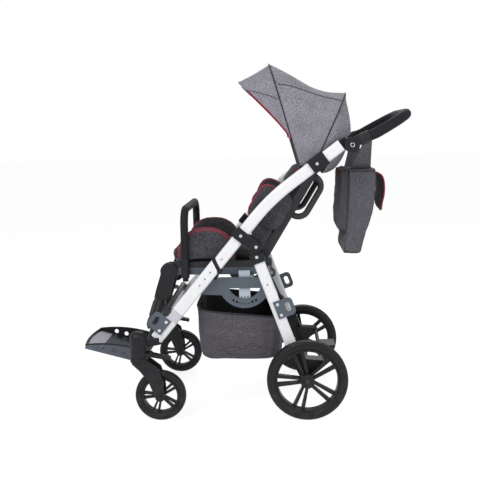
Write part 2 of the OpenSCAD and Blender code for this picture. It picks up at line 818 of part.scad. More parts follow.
// Upper frame
module push_tubes() in_frame() color("white") both() difference() {
  push_tube_bar();
  push_tube_bar(0, tube_wall);
  ahead_hinge(-hinge_t);
  hinge_side(tube_in - over, tube_out + over);
  at(along(push_mid, up_a, hole_first + hole_pitch / 2)) pin(tube_hole_r, tube_in - over, tube_out + over);
}
module upper_hinge_blocks() in_frame() color("black") both() {
  difference() {
    union() {
      at_y(frame_w / 2) at(fold_pin, hinge_cut_a) translate([0, run - tube_t / 2, gap / 2])
        cube([hinge_l, tube_t - 2 * run, hinge_t - gap / 2]);
      at(fold_pin) pin(knuckle_r, tube_in, tube_out);
    }
    hinge_side(frame_w / 2 - knuckle_w / 2 - gap, frame_w / 2 + knuckle_w / 2 + gap);
  }
  at(fold_pin) pin(hinge_pin_r, frame_w / 2 - knuckle_w, frame_w / 2 + knuckle_w);
}
module sleeve_brackets() in_frame() color("black") both() {
  s = along(push_mid, up_a, sleeve_s);
  difference() {
    union() {
      at_y(frame_w / 2) at(along(s, up_a, -sleeve_l / 2), up_a)
        box_bar(sleeve_l, push_tube_h + 2 * sleeve_wall, tube_t + 2 * cheek_t + 2 * gap);
      for (y = [tube_in - gap - cheek_t, tube_out + gap]) {
        at(leg_pivot) pin(cheek_r, y, y + cheek_t);
        at(leg_pivot, back_n - 180) translate([0, y, -cheek_r]) cube([push_tube_h + sleeve_wall, cheek_t,
          2 * cheek_r]);
      }
    }
    push_tube_bar();
  }
  at(leg_pivot) pin(leg_pin_r, tube_in - gap, tube_out + gap);
}
cross_p = along(bend, push_a, push_upper_l - hub_r);
module upper_cross_tube() in_frame() color("white") at(cross_p) pin(cross_r, -hub_in, hub_in);
clamp_p = along(push_end, push_a, -clamp_back - clamp_l / 2);
module canopy_clamps() in_frame() color("black") both() {
  difference() {
    at_y(frame_w / 2) at(clamp_p, push_a) box_bar(clamp_l, push_tube_h + 2 * clamp_wall,
      tube_t + 2 * clamp_wall);
    push_tube_bar();
  }
  eye_out = bow_half_w + eye_t / 2 + gap;
  at(rear_bow_p) pin(eye_r, eye_out, tube_in - clamp_wall);
  at(front_bow_p) pin(eye_r, eye_out, tube_in);
  for (p = [rear_bow_p, front_bow_p]) at(p) pin(eye_pin_r, bow_half_w - eye_t / 2, eye_out);
}
hub_out = tube_in - hub_in_gap;
hub_in = hub_out - hub_t;
disc_in = frame_w / 2 - arm_socket_r;
disc_out = frame_w / 2 + arm_socket_r;
module handle_hubs() in_frame() color("black") both() difference() {
  union() {
    at(hub_p) pin(hub_r, hub_in, hub_out);
    slab(hub_in, hub_out) translate(push_end) rotate(push_a) translate([-hub_neck_l, -hub_neck_h / 2])
      square([hub_neck_l + hub_r, hub_neck_h]);
    at_y(hub_in) at(along(push_end, push_a, -hub_neck_l), push_a) translate([0, 0, -hub_neck_h / 2])
      cube([hub_neck_l - neck_gap, tube_in - hub_in, hub_neck_h]);
  }
  at(hub_p) pin(hub_pin_r + run, hub_in - over, hub_out + over);
}
module upper_bolts() in_frame() color("silver") both() {
  y = tube_out + gap + cheek_t;
  s = along(push_mid, up_a, sleeve_s);
  for (p = [s, leg_pivot]) at(p) at_y(y) bolt_head();
  at(along(clamp_p, push_a, clamp_l * clamp_bolt_share)) at_y(tube_out + clamp_wall) bolt_head();
}
clamp_bolt_share = 0.4;

// Rear legs
module rear_tubes() in_frame() color("white") both() {
  difference() {
    rear_tube_bar();
    rear_tube_bar(0, tube_wall);
    at(along(leg_mid, rear_a, -leg_top - rear_hole_s)) pin(tube_hole_r, tube_in - over, tube_out + over);
  }
  at(stud_p) pin(stud_r, plate_in - gap, tube_in + tube_wall);
}
rear_hole_s = 100;
module leg_sockets() in_frame() color("black") both() difference() {
  union() {
    at(leg_pivot) pin(tongue_r, tube_in + run, tube_out - run);
    at_y(frame_w / 2) at(leg_mid, rear_a + 180) {
      box_bar(socket_start + socket_wall, rear_tube_h, tube_t);
      translate([socket_start, 0, 0]) box_bar(socket_l, rear_tube_h + 2 * socket_wall,
        tube_t + 2 * socket_wall);
    }
  }
  rear_tube_bar();
  at(leg_pivot) pin(leg_pin_r + run, tube_in - over, tube_out + over);
}
module axle_brackets() in_frame() color("black") both() difference() {
  union() {
    at(rear_axle_p) pin(axle_boss_r, frame_w / 2 - axle_bracket_w / 2, frame_w / 2 + axle_bracket_w / 2);
    slab(frame_w / 2 - axle_bracket_w / 2, frame_w / 2 + axle_bracket_w / 2) {
      l = (leg_pivot_z - axle_bracket_top) / sin(rear_a);
      top = along(leg_mid, rear_a, -l);
      half = rear_tube_h / 2 + socket_wall;
      polygon([along(top, rear_a - 90, half), along(top, rear_a - 90, -half),
        rear_axle_p - [axle_boss_r, 0], rear_axle_p + [axle_boss_r, 0]]);
    }
    at([brake_x, brake_z]) pin(brake_pin_r * 2, brake_half_w + gap, frame_w / 2 + axle_bracket_w / 2);
    slab(brake_half_w + gap, frame_w / 2 + axle_bracket_w / 2)
      polygon([[brake_x, brake_z + 2 * brake_pin_r], [brake_x, brake_z - 2 * brake_pin_r], rear_axle_p,
        along(rear_axle_p, rear_a, axle_boss_r * 3)]);
  }
  rear_tube_bar();
  at(rear_axle_p) pin(axle_tube_r, 0, frame_w / 2 + axle_bracket_w);
  at([brake_x, brake_z]) pin(brake_pin_r + run, 0, frame_w / 2 + axle_bracket_w);
}
module rear_axle() in_frame() color("gray") at(rear_axle_p) {
  half = frame_w / 2 + axle_bracket_w / 2;
  pin(axle_tube_r, -half, half);
  pin(rear_axle_r, -wheel_track / 2 - rear_tyre_w / 2 - bolt_head_t,
    wheel_track / 2 + rear_tyre_w / 2 + bolt_head_t);
}
module rear_tie_downs() in_frame() color("dimgray") both() at(rear_tie_p, rear_a)
  slab(tube_out, tube_out + tie_t) tie_outline();
module rear_bolts() in_frame() color("silver") {
  tie_bolts(rear_tie_p, rear_a);
  both() at(along(leg_mid, rear_a, -socket_start - socket_l / 3)) at_y(tube_out + socket_wall) bolt_head();
}
module brake_bar() in_frame() color("black") at([brake_x, brake_z]) {
  pin(brake_pin_r, -frame_w / 2 - axle_bracket_w / 2, frame_w / 2 + axle_bracket_w / 2);
  pin(brake_bar_r, -brake_half_w, brake_half_w);
  at_y(-brake_pedal_l / 2) translate([-brake_arm_l, 0, -brake_pedal_t / 2]) cube([brake_arm_l,
    brake_pedal_l, brake_pedal_t]);
}

// Seat
rail_z = rail_top_z - rail_h / 2;
knee_p = [knee_x, knee_z];
back_pivot = [back_pivot_x, back_pivot_z];
module seat_frame() in_frame() color("dimgray") {
  both() difference() {
    slab(rail_in, rail_out) {
      translate([rail_back_x, rail_top_z - rail_h]) square([knee_x - rail_back_x, rail_h]);
      translate(knee_p) circle(knee_r, $fn = fine);
    }
    at(knee_p) pin(knee_pin_r + run, rail_in - over, rail_out + over);
    at(back_pivot) pin(back_pin_r + run, rail_in - over, rail_out + over);
  }
  for (x = [rail_back_x + seat_bar_s, rail_front_x - seat_bar_s]) at([x,
    rail_top_z - board_t - seat_bar_r / 2])
    pin(seat_bar_r, -rail_in, rail_in);
  translate([seat_back_x + board_back, -rail_in, rail_top_z - board_t])
    cube([knee_x - knee_r - seat_back_x - board_back, 2 * rail_in, board_t]);
}
crown_shares = [[0, 0.9], [0.12, 0.975], [0.45, 1], [0.75, 0.95], [0.92, 0.8], [1, 0.5]];
cushion_draw_share = 0.035;
// Crowned cushion: rings that swell and close towards the top; lx by ly by t, lying on its back
module cushion(lx, ly, t, sharpness = 7) loft([for (c = crown_shares)
  lift(soft_ring(lx / 2 * c[1], ly / 2 * c[1], sharpness, cushion_draw_share, soft_n), t * c[0])]);
module seat_cushion() in_frame() color([0.2, 0.2, 0.21])
  translate([(seat_back_x + seat_front_x) / 2, 0, rail_top_z + gap])
    cushion(seat_front_x - seat_back_x, cushion_w, seat_cushion_t);
// Hip bolster: a half disc pad standing on the seat board
function bolster_ring(share) = [for (i = [0 : soft_n - 1]) let (a = 360 * i / soft_n)
  [bolster_x + bolster_rx * share * power(cos(a), arch_share),
    rail_top_z + gap + max(0, bolster_h * share * power(sin(a), arch_share))]];
arch_share = 0.85;
bolster_shares = [[1, 0.9], [0.82, 0.99], [0.5, 1], [0.18, 0.99], [0, 0.9]];
module hip_bolsters() in_frame() color([0.2, 0.2, 0.21]) both() loft([for (c = bolster_shares)
  [for (q = bolster_ring(c[1])) [q[0], bolster_in + bolster_t * c[0], q[1]]]]);
module latch_brackets() in_frame() color("lightgray") both() at(tilt_p) {
  difference() {
    slab(latch_in, latch_out) translate([-latch_w / 2, -latch_low]) square([latch_w,
      latch_low + latch_tab]);
    pin(tilt_pin_r + run, latch_in - over, latch_out + over);
    for (k = [-1 : 1]) translate([k * latch_hole_step, 0, -latch_hole_low]) pin(latch_hole_r,
      latch_in - over, latch_out + over);
  }
  translate([-latch_w / 2, rail_out, rail_top_z - rail_h - tilt_z]) cube([latch_w, latch_spacer,
    tilt_z + latch_tab - rail_top_z + rail_h]);
}
module bumper_sockets() in_frame() color("black") both() difference() {
  union() {
    translate([bumper_x, bumper_y, bumper_socket_z]) cylinder(r = bumper_socket_r,
      h = bumper_foam_z - bumper_socket_z - gap, $fn = fine);
    translate([bumper_x - bumper_lug_w / 2, rail_out, rail_top_z - rail_h]) cube([bumper_lug_w,
      bumper_y - rail_out, rail_h]);
  }
  translate([bumper_x, bumper_y, bumper_socket_z - over]) cylinder(r = bumper_post_r + run,
    h = bumper_top_z - bumper_socket_z, $fn = fine);
}
module bumper_bar() in_frame() color("black") translate([bumper_x, 0, 0]) rotate([0, -90, 0]) {
  u_bar(bumper_y, bumper_top_z - bumper_r, bumper_bend_r, bumper_r, bumper_foam_z);
  both() translate([bumper_low_z, bumper_y, 0]) rod(bumper_post_r, bumper_foam_z - bumper_low_z + over);
}

// Backrest, with X along the bars and Z towards its rear face
back_a = 90 + back_recline;
module on_back() in_frame() at(back_pivot, back_a) children();
module back_frame() color("dimgray") on_back() {
  both() {
    translate([-back_bar_h / 2, back_in, -back_bar_h / 2]) cube([back_l + back_bar_h / 2, back_bar_t,
      back_bar_h]);
    pin(back_pin_r, back_out - over, rail_out);
    translate([loop_s, back_in + back_bar_t / 2, 0]) rotate([0, 0, 90]) rotate([0, -90, 0])
      u_bar(loop_half, loop_reach, loop_bend, loop_r, back_bar_h / 2 - over);
  }
  for (k = back_bar_shares) translate([back_l * k, 0, seat_bar_r + gap - back_bar_h / 2]) pin(seat_bar_r,
    -back_in, back_in);
}
back_bar_shares = [0.3, 0.92];
module back_cushion() color([0.2, 0.2, 0.21]) on_back()
  translate([back_l / 2 + back_bar_h, 0, -back_bar_h / 2 - gap]) rotate([180, 0, 0])
    cushion(back_l - back_bar_h, cushion_w, back_cushion_t);
wing_shares = [[1, 0.92], [0.8, 1], [0.2, 1], [0, 0.92]];
function wing_ring(share) = [for (i = [0 : soft_n - 1]) let (a = 360 * i / soft_n)
  share * [wing_l / 2 * power(cos(a), 0.6), wing_reach / 2 * power(sin(a), 0.6)]];
module side_wings() color([0.2, 0.2, 0.21]) on_back() both() loft([for (c = wing_shares)
  [for (q = wing_ring(c[1])) [wing_low + wing_l / 2 + q[0], back_out + gap + wing_t * c[0],
    -wing_reach / 2 + q[1]]]]);

// Leg rest, with X down the leg bars
leg_a = -leg_slope;
module on_leg() in_frame() at(knee_p, leg_a) children();
module knee_covers() color("black") on_leg() both() {
  slab(rail_out + gap, rail_out + gap + knee_t) {
    circle(knee_r, $fn = fine);
    translate([0, -cover_r]) square([cover_l, 2 * cover_r]);
    translate([cover_l, 0]) circle(cover_r, $fn = fine);
  }
  pin(knee_pin_r, rail_in - gap, rail_out + gap);
  translate([cover_l, 0, 0]) pin(cover_pin_r, leg_bar_y, rail_out + gap);
}
module leg_bars() color("dimgray") on_leg() {
  both() {
    difference() {
      translate([cover_l - leg_bar_top, leg_bar_y, 0]) rod(leg_bar_r, leg_l - cover_l + leg_bar_top);
      translate([cover_l, 0, 0]) pin(cover_pin_r, leg_bar_y, rail_out);
    }
    translate([leg_l, 0, 0]) {
      pin(foot_eye_r, foot_ear_out + gap, leg_bar_y + leg_bar_r);
      pin(foot_hinge_pin_r, foot_ear_out - foot_ear_t, foot_ear_out + gap);
    }
  }
  translate([leg_cross_s, 0, 0]) pin(leg_cross_r, -leg_bar_y, leg_bar_y);
}
foot_ear_out = foot_w / 2 - foot_wall / 2 + foot_ear_t;
foot_hinge_p = along(knee_p, leg_a, leg_l);
module calf_pad() color([0.2, 0.2, 0.21]) on_leg() translate([pad_start + pad_l / 2, 0, leg_bar_r + gap])
  cushion(pad_l, pad_w, pad_t);
foot_p = [foot_x, foot_z];
module foot_plan(shrink) intersection() {
  translate([shrink, -foot_w / 2 + shrink]) square([foot_l, foot_w - 2 * shrink]);
  translate([foot_l - foot_arc_r, 0]) circle(foot_arc_r - shrink, $fn = 2 * fine);
}
function on_foot(x, z) = along(along(foot_p, foot_slope, x), foot_slope + 90, z);
module footplate() color("dimgray") in_frame() difference() {
  union() {
    at(foot_p, foot_slope) difference() {
      intersection() {
        difference() {
          linear_extrude(foot_rim_h) foot_plan(0);
          translate([0, 0, foot_floor_t]) linear_extrude(foot_rim_h) foot_plan(foot_wall);
        }
        translate([foot_rim_x, 0, foot_rim_h - foot_rim_r]) pin(foot_rim_r, -foot_w, foot_w);
      }
      for (k = [0 : 2]) translate([foot_hole_x + k * foot_hole_step, 0, foot_hole_z]) pin(foot_hole_r,
        -foot_w, foot_w);
    }
    both() slab(foot_ear_out - foot_ear_t, foot_ear_out) {
      translate(foot_hinge_p) circle(foot_eye_r, $fn = fine);
      polygon([foot_hinge_p - [foot_ear_half, 0], foot_hinge_p + [foot_ear_half, 0], on_foot(foot_ear_l,
        foot_hole_z / 2),
        on_foot(foot_ear_l, foot_floor_t / 3), on_foot(foot_wall, foot_floor_t / 3)]);
    }
  }
  both() at(foot_hinge_p) pin(foot_hinge_pin_r + run, 0, foot_w);
}

// Push handle
module on_handle() in_frame() at(hub_p, handle_a) translate([0, 0, -handle_rise]) children();
// Arms along X, an elbow let into both neighbours that turns upwards, and a U-shaped end
module handle_path(r, start) {
  both() {
    translate([start, frame_w / 2, 0]) rod(r, handle_run - start);
    translate([handle_run, frame_w / 2, -handle_kick_r]) rotate([90, 0, 0])
      rotate(90 - handle_kick_a - elbow_over_a) rotate_extrude(angle = handle_kick_a + 2 * elbow_over_a,
        $fn = fine)
        translate([handle_kick_r, 0]) circle(r - 2 * run, $fn = fine);
  }
  translate([handle_l - handle_end_l, 0, -handle_kick_r * (1 - cos(handle_kick_a))])
    rotate([0, handle_kick_a, 0]) u_bar(frame_w / 2, handle_end_l, handle_bend_r, r);
}
module handle_bar() color("gray") on_handle() handle_path(bar_r, bar_start);
module handle_grip() color("black") on_handle() difference() {
  handle_path(grip_d / 2, grip_start);
  handle_path(bar_r, grip_start - over);
}
module arm_sockets() color("black") {
  difference() {
    union() {
      on_handle() both() translate([0, frame_w / 2, 0]) rod(arm_socket_r, grip_start - gap);
      in_frame() both() at(hub_p) {
        pin(hub_r, disc_in, disc_out);
        pin(hub_pin_r, hub_in + gap, disc_in);
      }
    }
    on_handle() both() translate([bar_start, frame_w / 2, 0]) rod(bar_r, grip_start);
    in_frame() both() at(hub_p) pin(button_r + run, disc_out - button_depth, disc_out + over);
  }
}
module handle_button(side) in_frame() hand(side) color("silver") at(hub_p)
  pin(button_r, disc_out - button_depth + button_travel + gap, disc_out + button_t);
module handle_button_left() handle_button("left");
module handle_button_right() handle_button("right");

// Canopy: bows are U-shaped, fabric follows them
function u_path(w, l, r, foot) = let (step = 90 / bend_n) concat([[foot, w], [(foot + l - r) / 2, w]],
  [for (i = [0 : bend_n]) [l - r + r * sin(i * step), w - r + r * cos(i * step)]], [[l, 0]],
  [for (i = [bend_n : -1 : 0]) [l - r + r * sin(i * step), r - w - r * cos(i * step)]],
  [[(foot + l - r) / 2, -w], [foot, -w]]);
function on_bow(path, p, a) = [for (q = path) [p[0] + q[0] * cos(a), q[1], p[1] + q[0] * sin(a)]];
function mix(a, b, t) = a + (b - a) * t;
function canopy_row(t, off) = on_bow(
  u_path(bow_half_w + off, mix(rear_bow_l, front_bow_l, t) + off + canopy_lift * pow(t, lift_n)
    - canopy_sag * sin(180 * t),
    bow_bend_r + off, bow_foot),
  mix(rear_bow_p, front_bow_p, t), mix(rear_bow_a, front_bow_a, t));
module bow(p, a, l) in_frame() difference() {
  union() {
    at(p, a) u_bar(bow_half_w, l, bow_bend_r, bow_r, eye_pin_r + over);
    both() at(p) pin(eye_r, bow_half_w - eye_t / 2, bow_half_w + eye_t / 2);
  }
  both() at(p) pin(eye_pin_r + run, bow_half_w - eye_t, bow_half_w + eye_t);
}
module canopy_rear_bow() color("black") bow(rear_bow_p, rear_bow_a, rear_bow_l);
module canopy_front_bow() color("black") bow(front_bow_p, front_bow_a, front_bow_l);
fabric_in = bow_r + fabric_gap;
fabric_out = fabric_in + fabric_t;
module canopy_fabric() color("gray") in_frame() sheet(
  [for (k = [0 : canopy_row_n]) canopy_row(k / canopy_row_n, fabric_in)],
  [for (k = [0 : canopy_row_n]) canopy_row(k / canopy_row_n, fabric_out)]);
// Visor: each point of the front bow's path is carried forwards by a share of the reach
function visor_share(u) = max(visor_least_share, pow((u - visor_start) / (front_bow_l - visor_start),
  visor_power_share));
function visor_row(t, off) = let (
  path = u_path(bow_half_w + off, front_bow_l + off, bow_bend_r + off, visor_start),
  ring = on_bow(path, front_bow_p, front_bow_a))
  [for (i = [0 : len(path) - 1]) let (r = visor_l * t * min(1, visor_share(path[i][0])) + gap)
    ring[i] + r * [cos(visor_drop_a), 0, -sin(visor_drop_a)]];
visor_least_share = 0.05;
visor_power_share = 1.15;
visor_row_n = 4;
module canopy_visor() color("gray") in_frame() sheet(
  [for (k = [0 : visor_row_n]) visor_row(k / visor_row_n, fabric_in)],
  [for (k = [0 : visor_row_n]) visor_row(k / visor_row_n, fabric_out)]);
// Rear drape: rows that turn back from the rear bow and grow shorter
function drape_row(t, off) = on_bow(
  u_path(bow_half_w + off - drape_in * t * t, rear_bow_l - drape_short * pow(t, drape_power_share) + off,
    bow_bend_r + off - drape_square * t, bow_foot + drape_foot * t),
  rear_bow_p, rear_bow_a + gap_turn_a + drape_turn_a * t);
module canopy_drape() color("gray") in_frame() sheet(
  [for (k = [drape_row_n : -1 : 0]) drape_row(k / drape_row_n, fabric_in)],
  [for (k = [drape_row_n : -1 : 0]) drape_row(k / drape_row_n, fabric_out)]);
// Bag: side outline as shares of depth and height, swelling across the width
bag_shares = [[0.6, 0], [0.9, 0.08], [1, 0.2], [0.93, 0.6], [0.86, 0.97], [0.8, 1], [0.4, 1], [0.3, 0.97],
  [0.06, 0.9], [0, 0.82], [0.03, 0.6], [0.12, 0.5], [0.42, 0.05], [0.5, 0]];
bag_width_shares = [[1, 0.92], [0.95, 0.985], [0.86, 1], [-0.86, 1], [-0.95, 0.985], [-1, 0.92]];
bag_mid_share = 0.5;
function bag_point(q, c) = [bag_x + bag_depth * (bag_mid_share + c * (q[0] - bag_mid_share)),
  bag_low_z + bag_h * (bag_mid_share + c * (q[1] - bag_mid_share))];
module bag() color("dimgray") in_frame() loft([for (w = bag_width_shares) [for (q = bag_shares)
  let (p = bag_point(q, w[1])) [p[0], w[0] * bag_w / 2, p[1]]]]);
// Straps: a loop round each handle arm and a band down to the bag
strap_top = bag_point([strap_share, 1], 1);
module bag_straps() color("black") both() {
  on_handle() translate([strap_s, frame_w / 2, 0]) difference() {
    rod(arm_socket_r + gap + strap_t, strap_w);
    translate([-over, 0, 0]) rod(arm_socket_r + gap, strap_w + 2 * over);
  }
  hull() {
    on_handle() translate([strap_s, frame_w / 2, arm_socket_r + gap]) cube([strap_w, strap_t, strap_t]);
    in_frame() translate([strap_top[0] - strap_w / 2, bag_w / 2 - strap_in, strap_top[1] + gap])
      cube([strap_w, strap_t, strap_t]);
  }
}

quadrant_plates();
base_tubes();
basket();
front_tubes();
front_hinge_blocks();
front_cross_tube();
caster_housings();
front_tie_downs();
front_bolts();
swivel_lock_left();
swivel_lock_right();
caster_fork_left();
caster_fork_right();
front_tyre_left();
front_tyre_right();
front_rim_left();
front_rim_right();
push_tubes();
upper_hinge_blocks();
sleeve_brackets();
upper_cross_tube();
canopy_clamps();
handle_hubs();
upper_bolts();
rear_tubes();
leg_sockets();
axle_brackets();
rear_axle();
rear_tie_downs();
rear_bolts();
brake_bar();
rear_tyre_left();
rear_tyre_right();
rear_rim_left();
rear_rim_right();
seat_frame();
seat_cushion();
hip_bolsters();
latch_brackets();
bumper_sockets();
bumper_bar();
back_frame();
back_cushion();
side_wings();
knee_covers();
leg_bars();
calf_pad();
footplate();
handle_bar();
handle_grip();
arm_sockets();
handle_button_left();
handle_button_right();
canopy_rear_bow();
canopy_front_bow();
canopy_fabric();
canopy_visor();
canopy_drape();
bag();
bag_straps();
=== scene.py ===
"""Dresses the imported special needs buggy: painted tubes, moulded plastic, tyres, padded seat and sewn cloth."""
import math

import bmesh
import bpy
import numpy as np
from mathutils import Matrix, Vector, noise
from mathutils.bvhtree import BVHTree


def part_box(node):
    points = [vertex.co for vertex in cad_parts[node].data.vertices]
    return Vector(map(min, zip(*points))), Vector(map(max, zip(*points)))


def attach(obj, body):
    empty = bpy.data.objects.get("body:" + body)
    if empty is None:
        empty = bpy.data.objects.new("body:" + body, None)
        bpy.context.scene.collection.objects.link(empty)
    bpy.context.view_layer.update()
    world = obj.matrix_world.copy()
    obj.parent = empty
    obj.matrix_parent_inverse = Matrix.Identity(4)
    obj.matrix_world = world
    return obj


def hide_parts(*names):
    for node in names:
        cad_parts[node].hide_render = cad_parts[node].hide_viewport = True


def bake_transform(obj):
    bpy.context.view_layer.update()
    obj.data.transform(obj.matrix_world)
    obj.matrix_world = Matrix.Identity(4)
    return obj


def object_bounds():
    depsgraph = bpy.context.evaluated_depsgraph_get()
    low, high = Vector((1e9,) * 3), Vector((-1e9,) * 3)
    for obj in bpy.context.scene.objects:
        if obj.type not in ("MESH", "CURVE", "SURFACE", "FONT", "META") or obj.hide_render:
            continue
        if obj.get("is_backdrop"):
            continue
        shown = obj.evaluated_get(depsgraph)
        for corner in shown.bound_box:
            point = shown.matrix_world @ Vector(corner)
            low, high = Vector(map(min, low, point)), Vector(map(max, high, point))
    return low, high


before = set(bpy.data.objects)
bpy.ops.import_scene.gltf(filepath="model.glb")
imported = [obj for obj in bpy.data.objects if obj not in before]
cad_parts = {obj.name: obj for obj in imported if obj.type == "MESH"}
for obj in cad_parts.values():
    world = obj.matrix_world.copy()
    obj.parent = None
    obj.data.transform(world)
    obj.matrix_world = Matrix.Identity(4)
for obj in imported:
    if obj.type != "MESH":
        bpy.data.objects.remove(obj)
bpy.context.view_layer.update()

scene = bpy.context.scene
MM = 0.001
MERGE = 1e-6  # metres; points that lie closer are one
CAD_MERGE = 1e-5
MIDDLE_X = 231.229  # rear axle to the middle of the part, so drawings count X from the rear axle
SIDES = (("left", 1), ("right", -1))


# Places: a frame in millimetres whose X runs at an angle in the side view

def place(x, z, angle=0.0):
    c, s = math.cos(math.radians(angle)), math.sin(math.radians(angle))
    turn = Matrix(((c, 0, -s, 0), (0, 1, 0, 0), (s, 0, c, 0), (0, 0, 0, 1)))
    return Matrix.Translation(((x - MIDDLE_X) * MM, 0, z * MM)) @ turn @ Matrix.Scale(MM, 4)


HUB_X, HUB_Z = -160.0, 957.0  # the push handle's hub
ARM_Y, ARM_RISE = 232.0, 5.0  # the handle's arms from the middle, and above the hub
AXLE = place(0, 0)
BACK = place(160, 545, 121)
LEG = place(489, 518, -72)
TRAY = place(607.3, 157, 15)
HANDLE = place(HUB_X, HUB_Z, 158) @ Matrix.Translation((0, 0, -ARM_RISE))


def spot(x, y, z):
    return AXLE @ Vector((x, y, z))


def smooth(edge_a, edge_b, value):
    t = min(1.0, max(0.0, (value - edge_a) / (edge_b - edge_a)))
    return t * t * (3 - 2 * t)


def mixed(a, b, t):
    return a + (b - a) * t


# Finishes: shader values with arithmetic, and one method for every other node

class Value:
    def __init__(self, finish, socket):
        self.finish, self.socket = finish, socket

    def math(self, operation, a, b=0.0):
        return self.finish.node("ShaderNodeMath", {"operation": operation}, {0: a, 1: b})

    def __add__(self, other): return self.math("ADD", self, other)
    def __radd__(self, other): return self.math("ADD", other, self)
    def __sub__(self, other): return self.math("SUBTRACT", self, other)
    def __rsub__(self, other): return self.math("SUBTRACT", other, self)
    def __mul__(self, other): return self.math("MULTIPLY", self, other)
    def __rmul__(self, other): return self.math("MULTIPLY", other, self)
    def __abs__(self): return self.math("ABSOLUTE", self)
    def wave(self): return self.math("SINE", self)


class Finish:
    def __init__(self, name, **sockets):
        self.material = bpy.data.materials.new(name)
        self.material.use_nodes = True
        self.tree = self.material.node_tree
        self.shader = self.tree.nodes["Principled BSDF"]
        for socket, value in sockets.items():
            self.shader.inputs[socket.replace("_", " ")].default_value = value

    def node(self, kind, settings=None, sockets=None, output=0):
        made = self.tree.nodes.new(kind)
        for name, value in (settings or {}).items():
            setattr(made, name, value)
        for name, value in (sockets or {}).items():
            if isinstance(value, Value):
                self.tree.links.new(value.socket, made.inputs[name])
            else:
                made.inputs[name].default_value = value
        return Value(self, made.outputs[output])

    def feed(self, socket, value):
        self.tree.links.new(value.socket, self.shader.inputs[socket])

    def where(self, source="Object", scale=(1, 1, 1)):
        found = self.node("ShaderNodeTexCoord", output=source)
        return self.node("ShaderNodeMapping", {}, {"Vector": found, "Scale": scale})

    def axes(self, source="Object"):
        found = self.node("ShaderNodeTexCoord", output=source)
        split = self.node("ShaderNodeSeparateXYZ", {}, {"Vector": found})
        return [Value(self, s) for s in split.socket.node.outputs]

    def grain(self, scale, detail=2.0, source="Object", stretch=(1, 1, 1)):
        return self.node("ShaderNodeTexNoise", {}, {
            "Vector": self.where(source, stretch), "Scale": scale, "Detail": detail})

    def cells(self, scale):
        return self.node("ShaderNodeTexVoronoi", {}, {"Vector": self.where(), "Scale": scale})

    def rise(self, value, low, high):
        return self.node("ShaderNodeMapRange", {"interpolation_type": "SMOOTHSTEP"}, {
            "Value": value, "From Min": low, "From Max": high})

    def tint(self, factor, low, high):
        """Colour from low to high; either may be a plain colour or another tint."""
        pick = lambda c: c if isinstance(c, Value) else (*c, 1.0)
        return self.node("ShaderNodeMix", {"data_type": "RGBA"}, {0: factor, 6: pick(low), 7: pick(high)}, 2)

    def relief(self, height, strength, distance):
        self.feed("Normal", self.node("ShaderNodeBump", {}, {
            "Height": height, "Strength": strength, "Distance": distance}))


def shade(colour, share):
    return tuple(c * share for c in colour)


BORDER = 0.0006  # metres over which one paint gives way to the next
ROAD_DUST, FINE_DUST = (0.3, 0.27, 0.23), (0.2, 0.18, 0.15)
BAND_GREY, RAIL_BLACK = (0.56, 0.55, 0.6), (0.016, 0.016, 0.018)
TUBE_WAY = (0.64, 0.768)  # how far forwards and down the front tubes run, per metre


def painted(name, colour, rough, worn, metal=0.0, black_above=None, band=None):
    """Powder coat: fine orange peel, faint handling marks and dust towards the floor."""
    f = Finish(name, Metallic=metal)
    peel, broad = f.grain(900, 2), f.grain(11, 3)
    scuff = f.rise(f.grain(38, 5, stretch=(1, 1, 3.5)), 0.62, 0.74)
    low = f.rise(f.axes()[2], 0.42, 0.02) * f.rise(f.grain(26, 4), 0.3, 0.75)
    cover = f.tint(broad * 0.35, colour, shade(colour, 0.9))
    cover = f.tint(scuff * 0.3, cover, worn)
    if band:
        x, _, z = f.axes()
        down = x * TUBE_WAY[0] - z * TUBE_WAY[1]
        patch = f.rise(down, band[0], band[0] + BORDER) * f.rise(down, band[1] + BORDER, band[1])
        cover = f.tint(patch, cover, BAND_GREY)
    if black_above:
        cover = f.tint(f.rise(f.axes()[2], black_above, black_above + 0.0008), cover, RAIL_BLACK)
    f.feed("Base Color", f.tint(low * 0.22, cover, ROAD_DUST))
    f.feed("Roughness", rough + broad * 0.08 + scuff * 0.12 + low * 0.2)
    f.relief(peel, 0.12, 0.0003)
    return f.material


def moulded(name, colour, rough, grain=1400, depth=0.2, painted_shade_within=None):
    """Moulded plastic or rubber: fine spark grain, rubbed patches a little paler and smoother, and, if asked,
    painted shade near black within a distance of the middle.
    """
    f = Finish(name, Specular_IOR_Level=0.28)
    fine, broad = f.grain(grain, 2), f.grain(17, 3)
    rubbed = f.rise(f.grain(30, 5), 0.56, 0.74)
    dust = f.rise(f.axes()[2], 0.3, 0.0) * f.rise(f.grain(45, 4), 0.35, 0.8)
    cover = f.tint(broad * 0.5, colour, shade(colour, 1.35))
    cover = f.tint(rubbed * 0.3, cover, shade(colour, 1.9))
    cover = f.tint(dust * 0.12, cover, FINE_DUST)
    # Painted shade: within this distance of the middle, the tray's inner walls and floor turn near black, so the
    # holes in its sides look dark.
    if painted_shade_within:
        inner_shade = f.rise(abs(f.axes()[1]), painted_shade_within + BORDER, painted_shade_within)
        cover = f.tint(inner_shade, cover, shade(colour, 0.14))
    f.feed("Base Color", cover)
    f.feed("Roughness", rough + broad * 0.14 + dust * 0.15 - rubbed * 0.1)
    f.relief(fine, depth, 0.0004)
    return f.material


def foamed(name, colour):
    """Foam grip: closed pores and a soft broad sheen."""
    f = Finish(name, Specular_IOR_Level=0.2)
    pores, broad = f.cells(620.0), f.grain(22, 3)
    f.feed("Base Color", f.tint(broad, colour, shade(colour, 1.9)))
    f.feed("Roughness", 0.66 + broad * 0.15)
    f.relief(pores, 0.04, 0.0002)
    return f.material


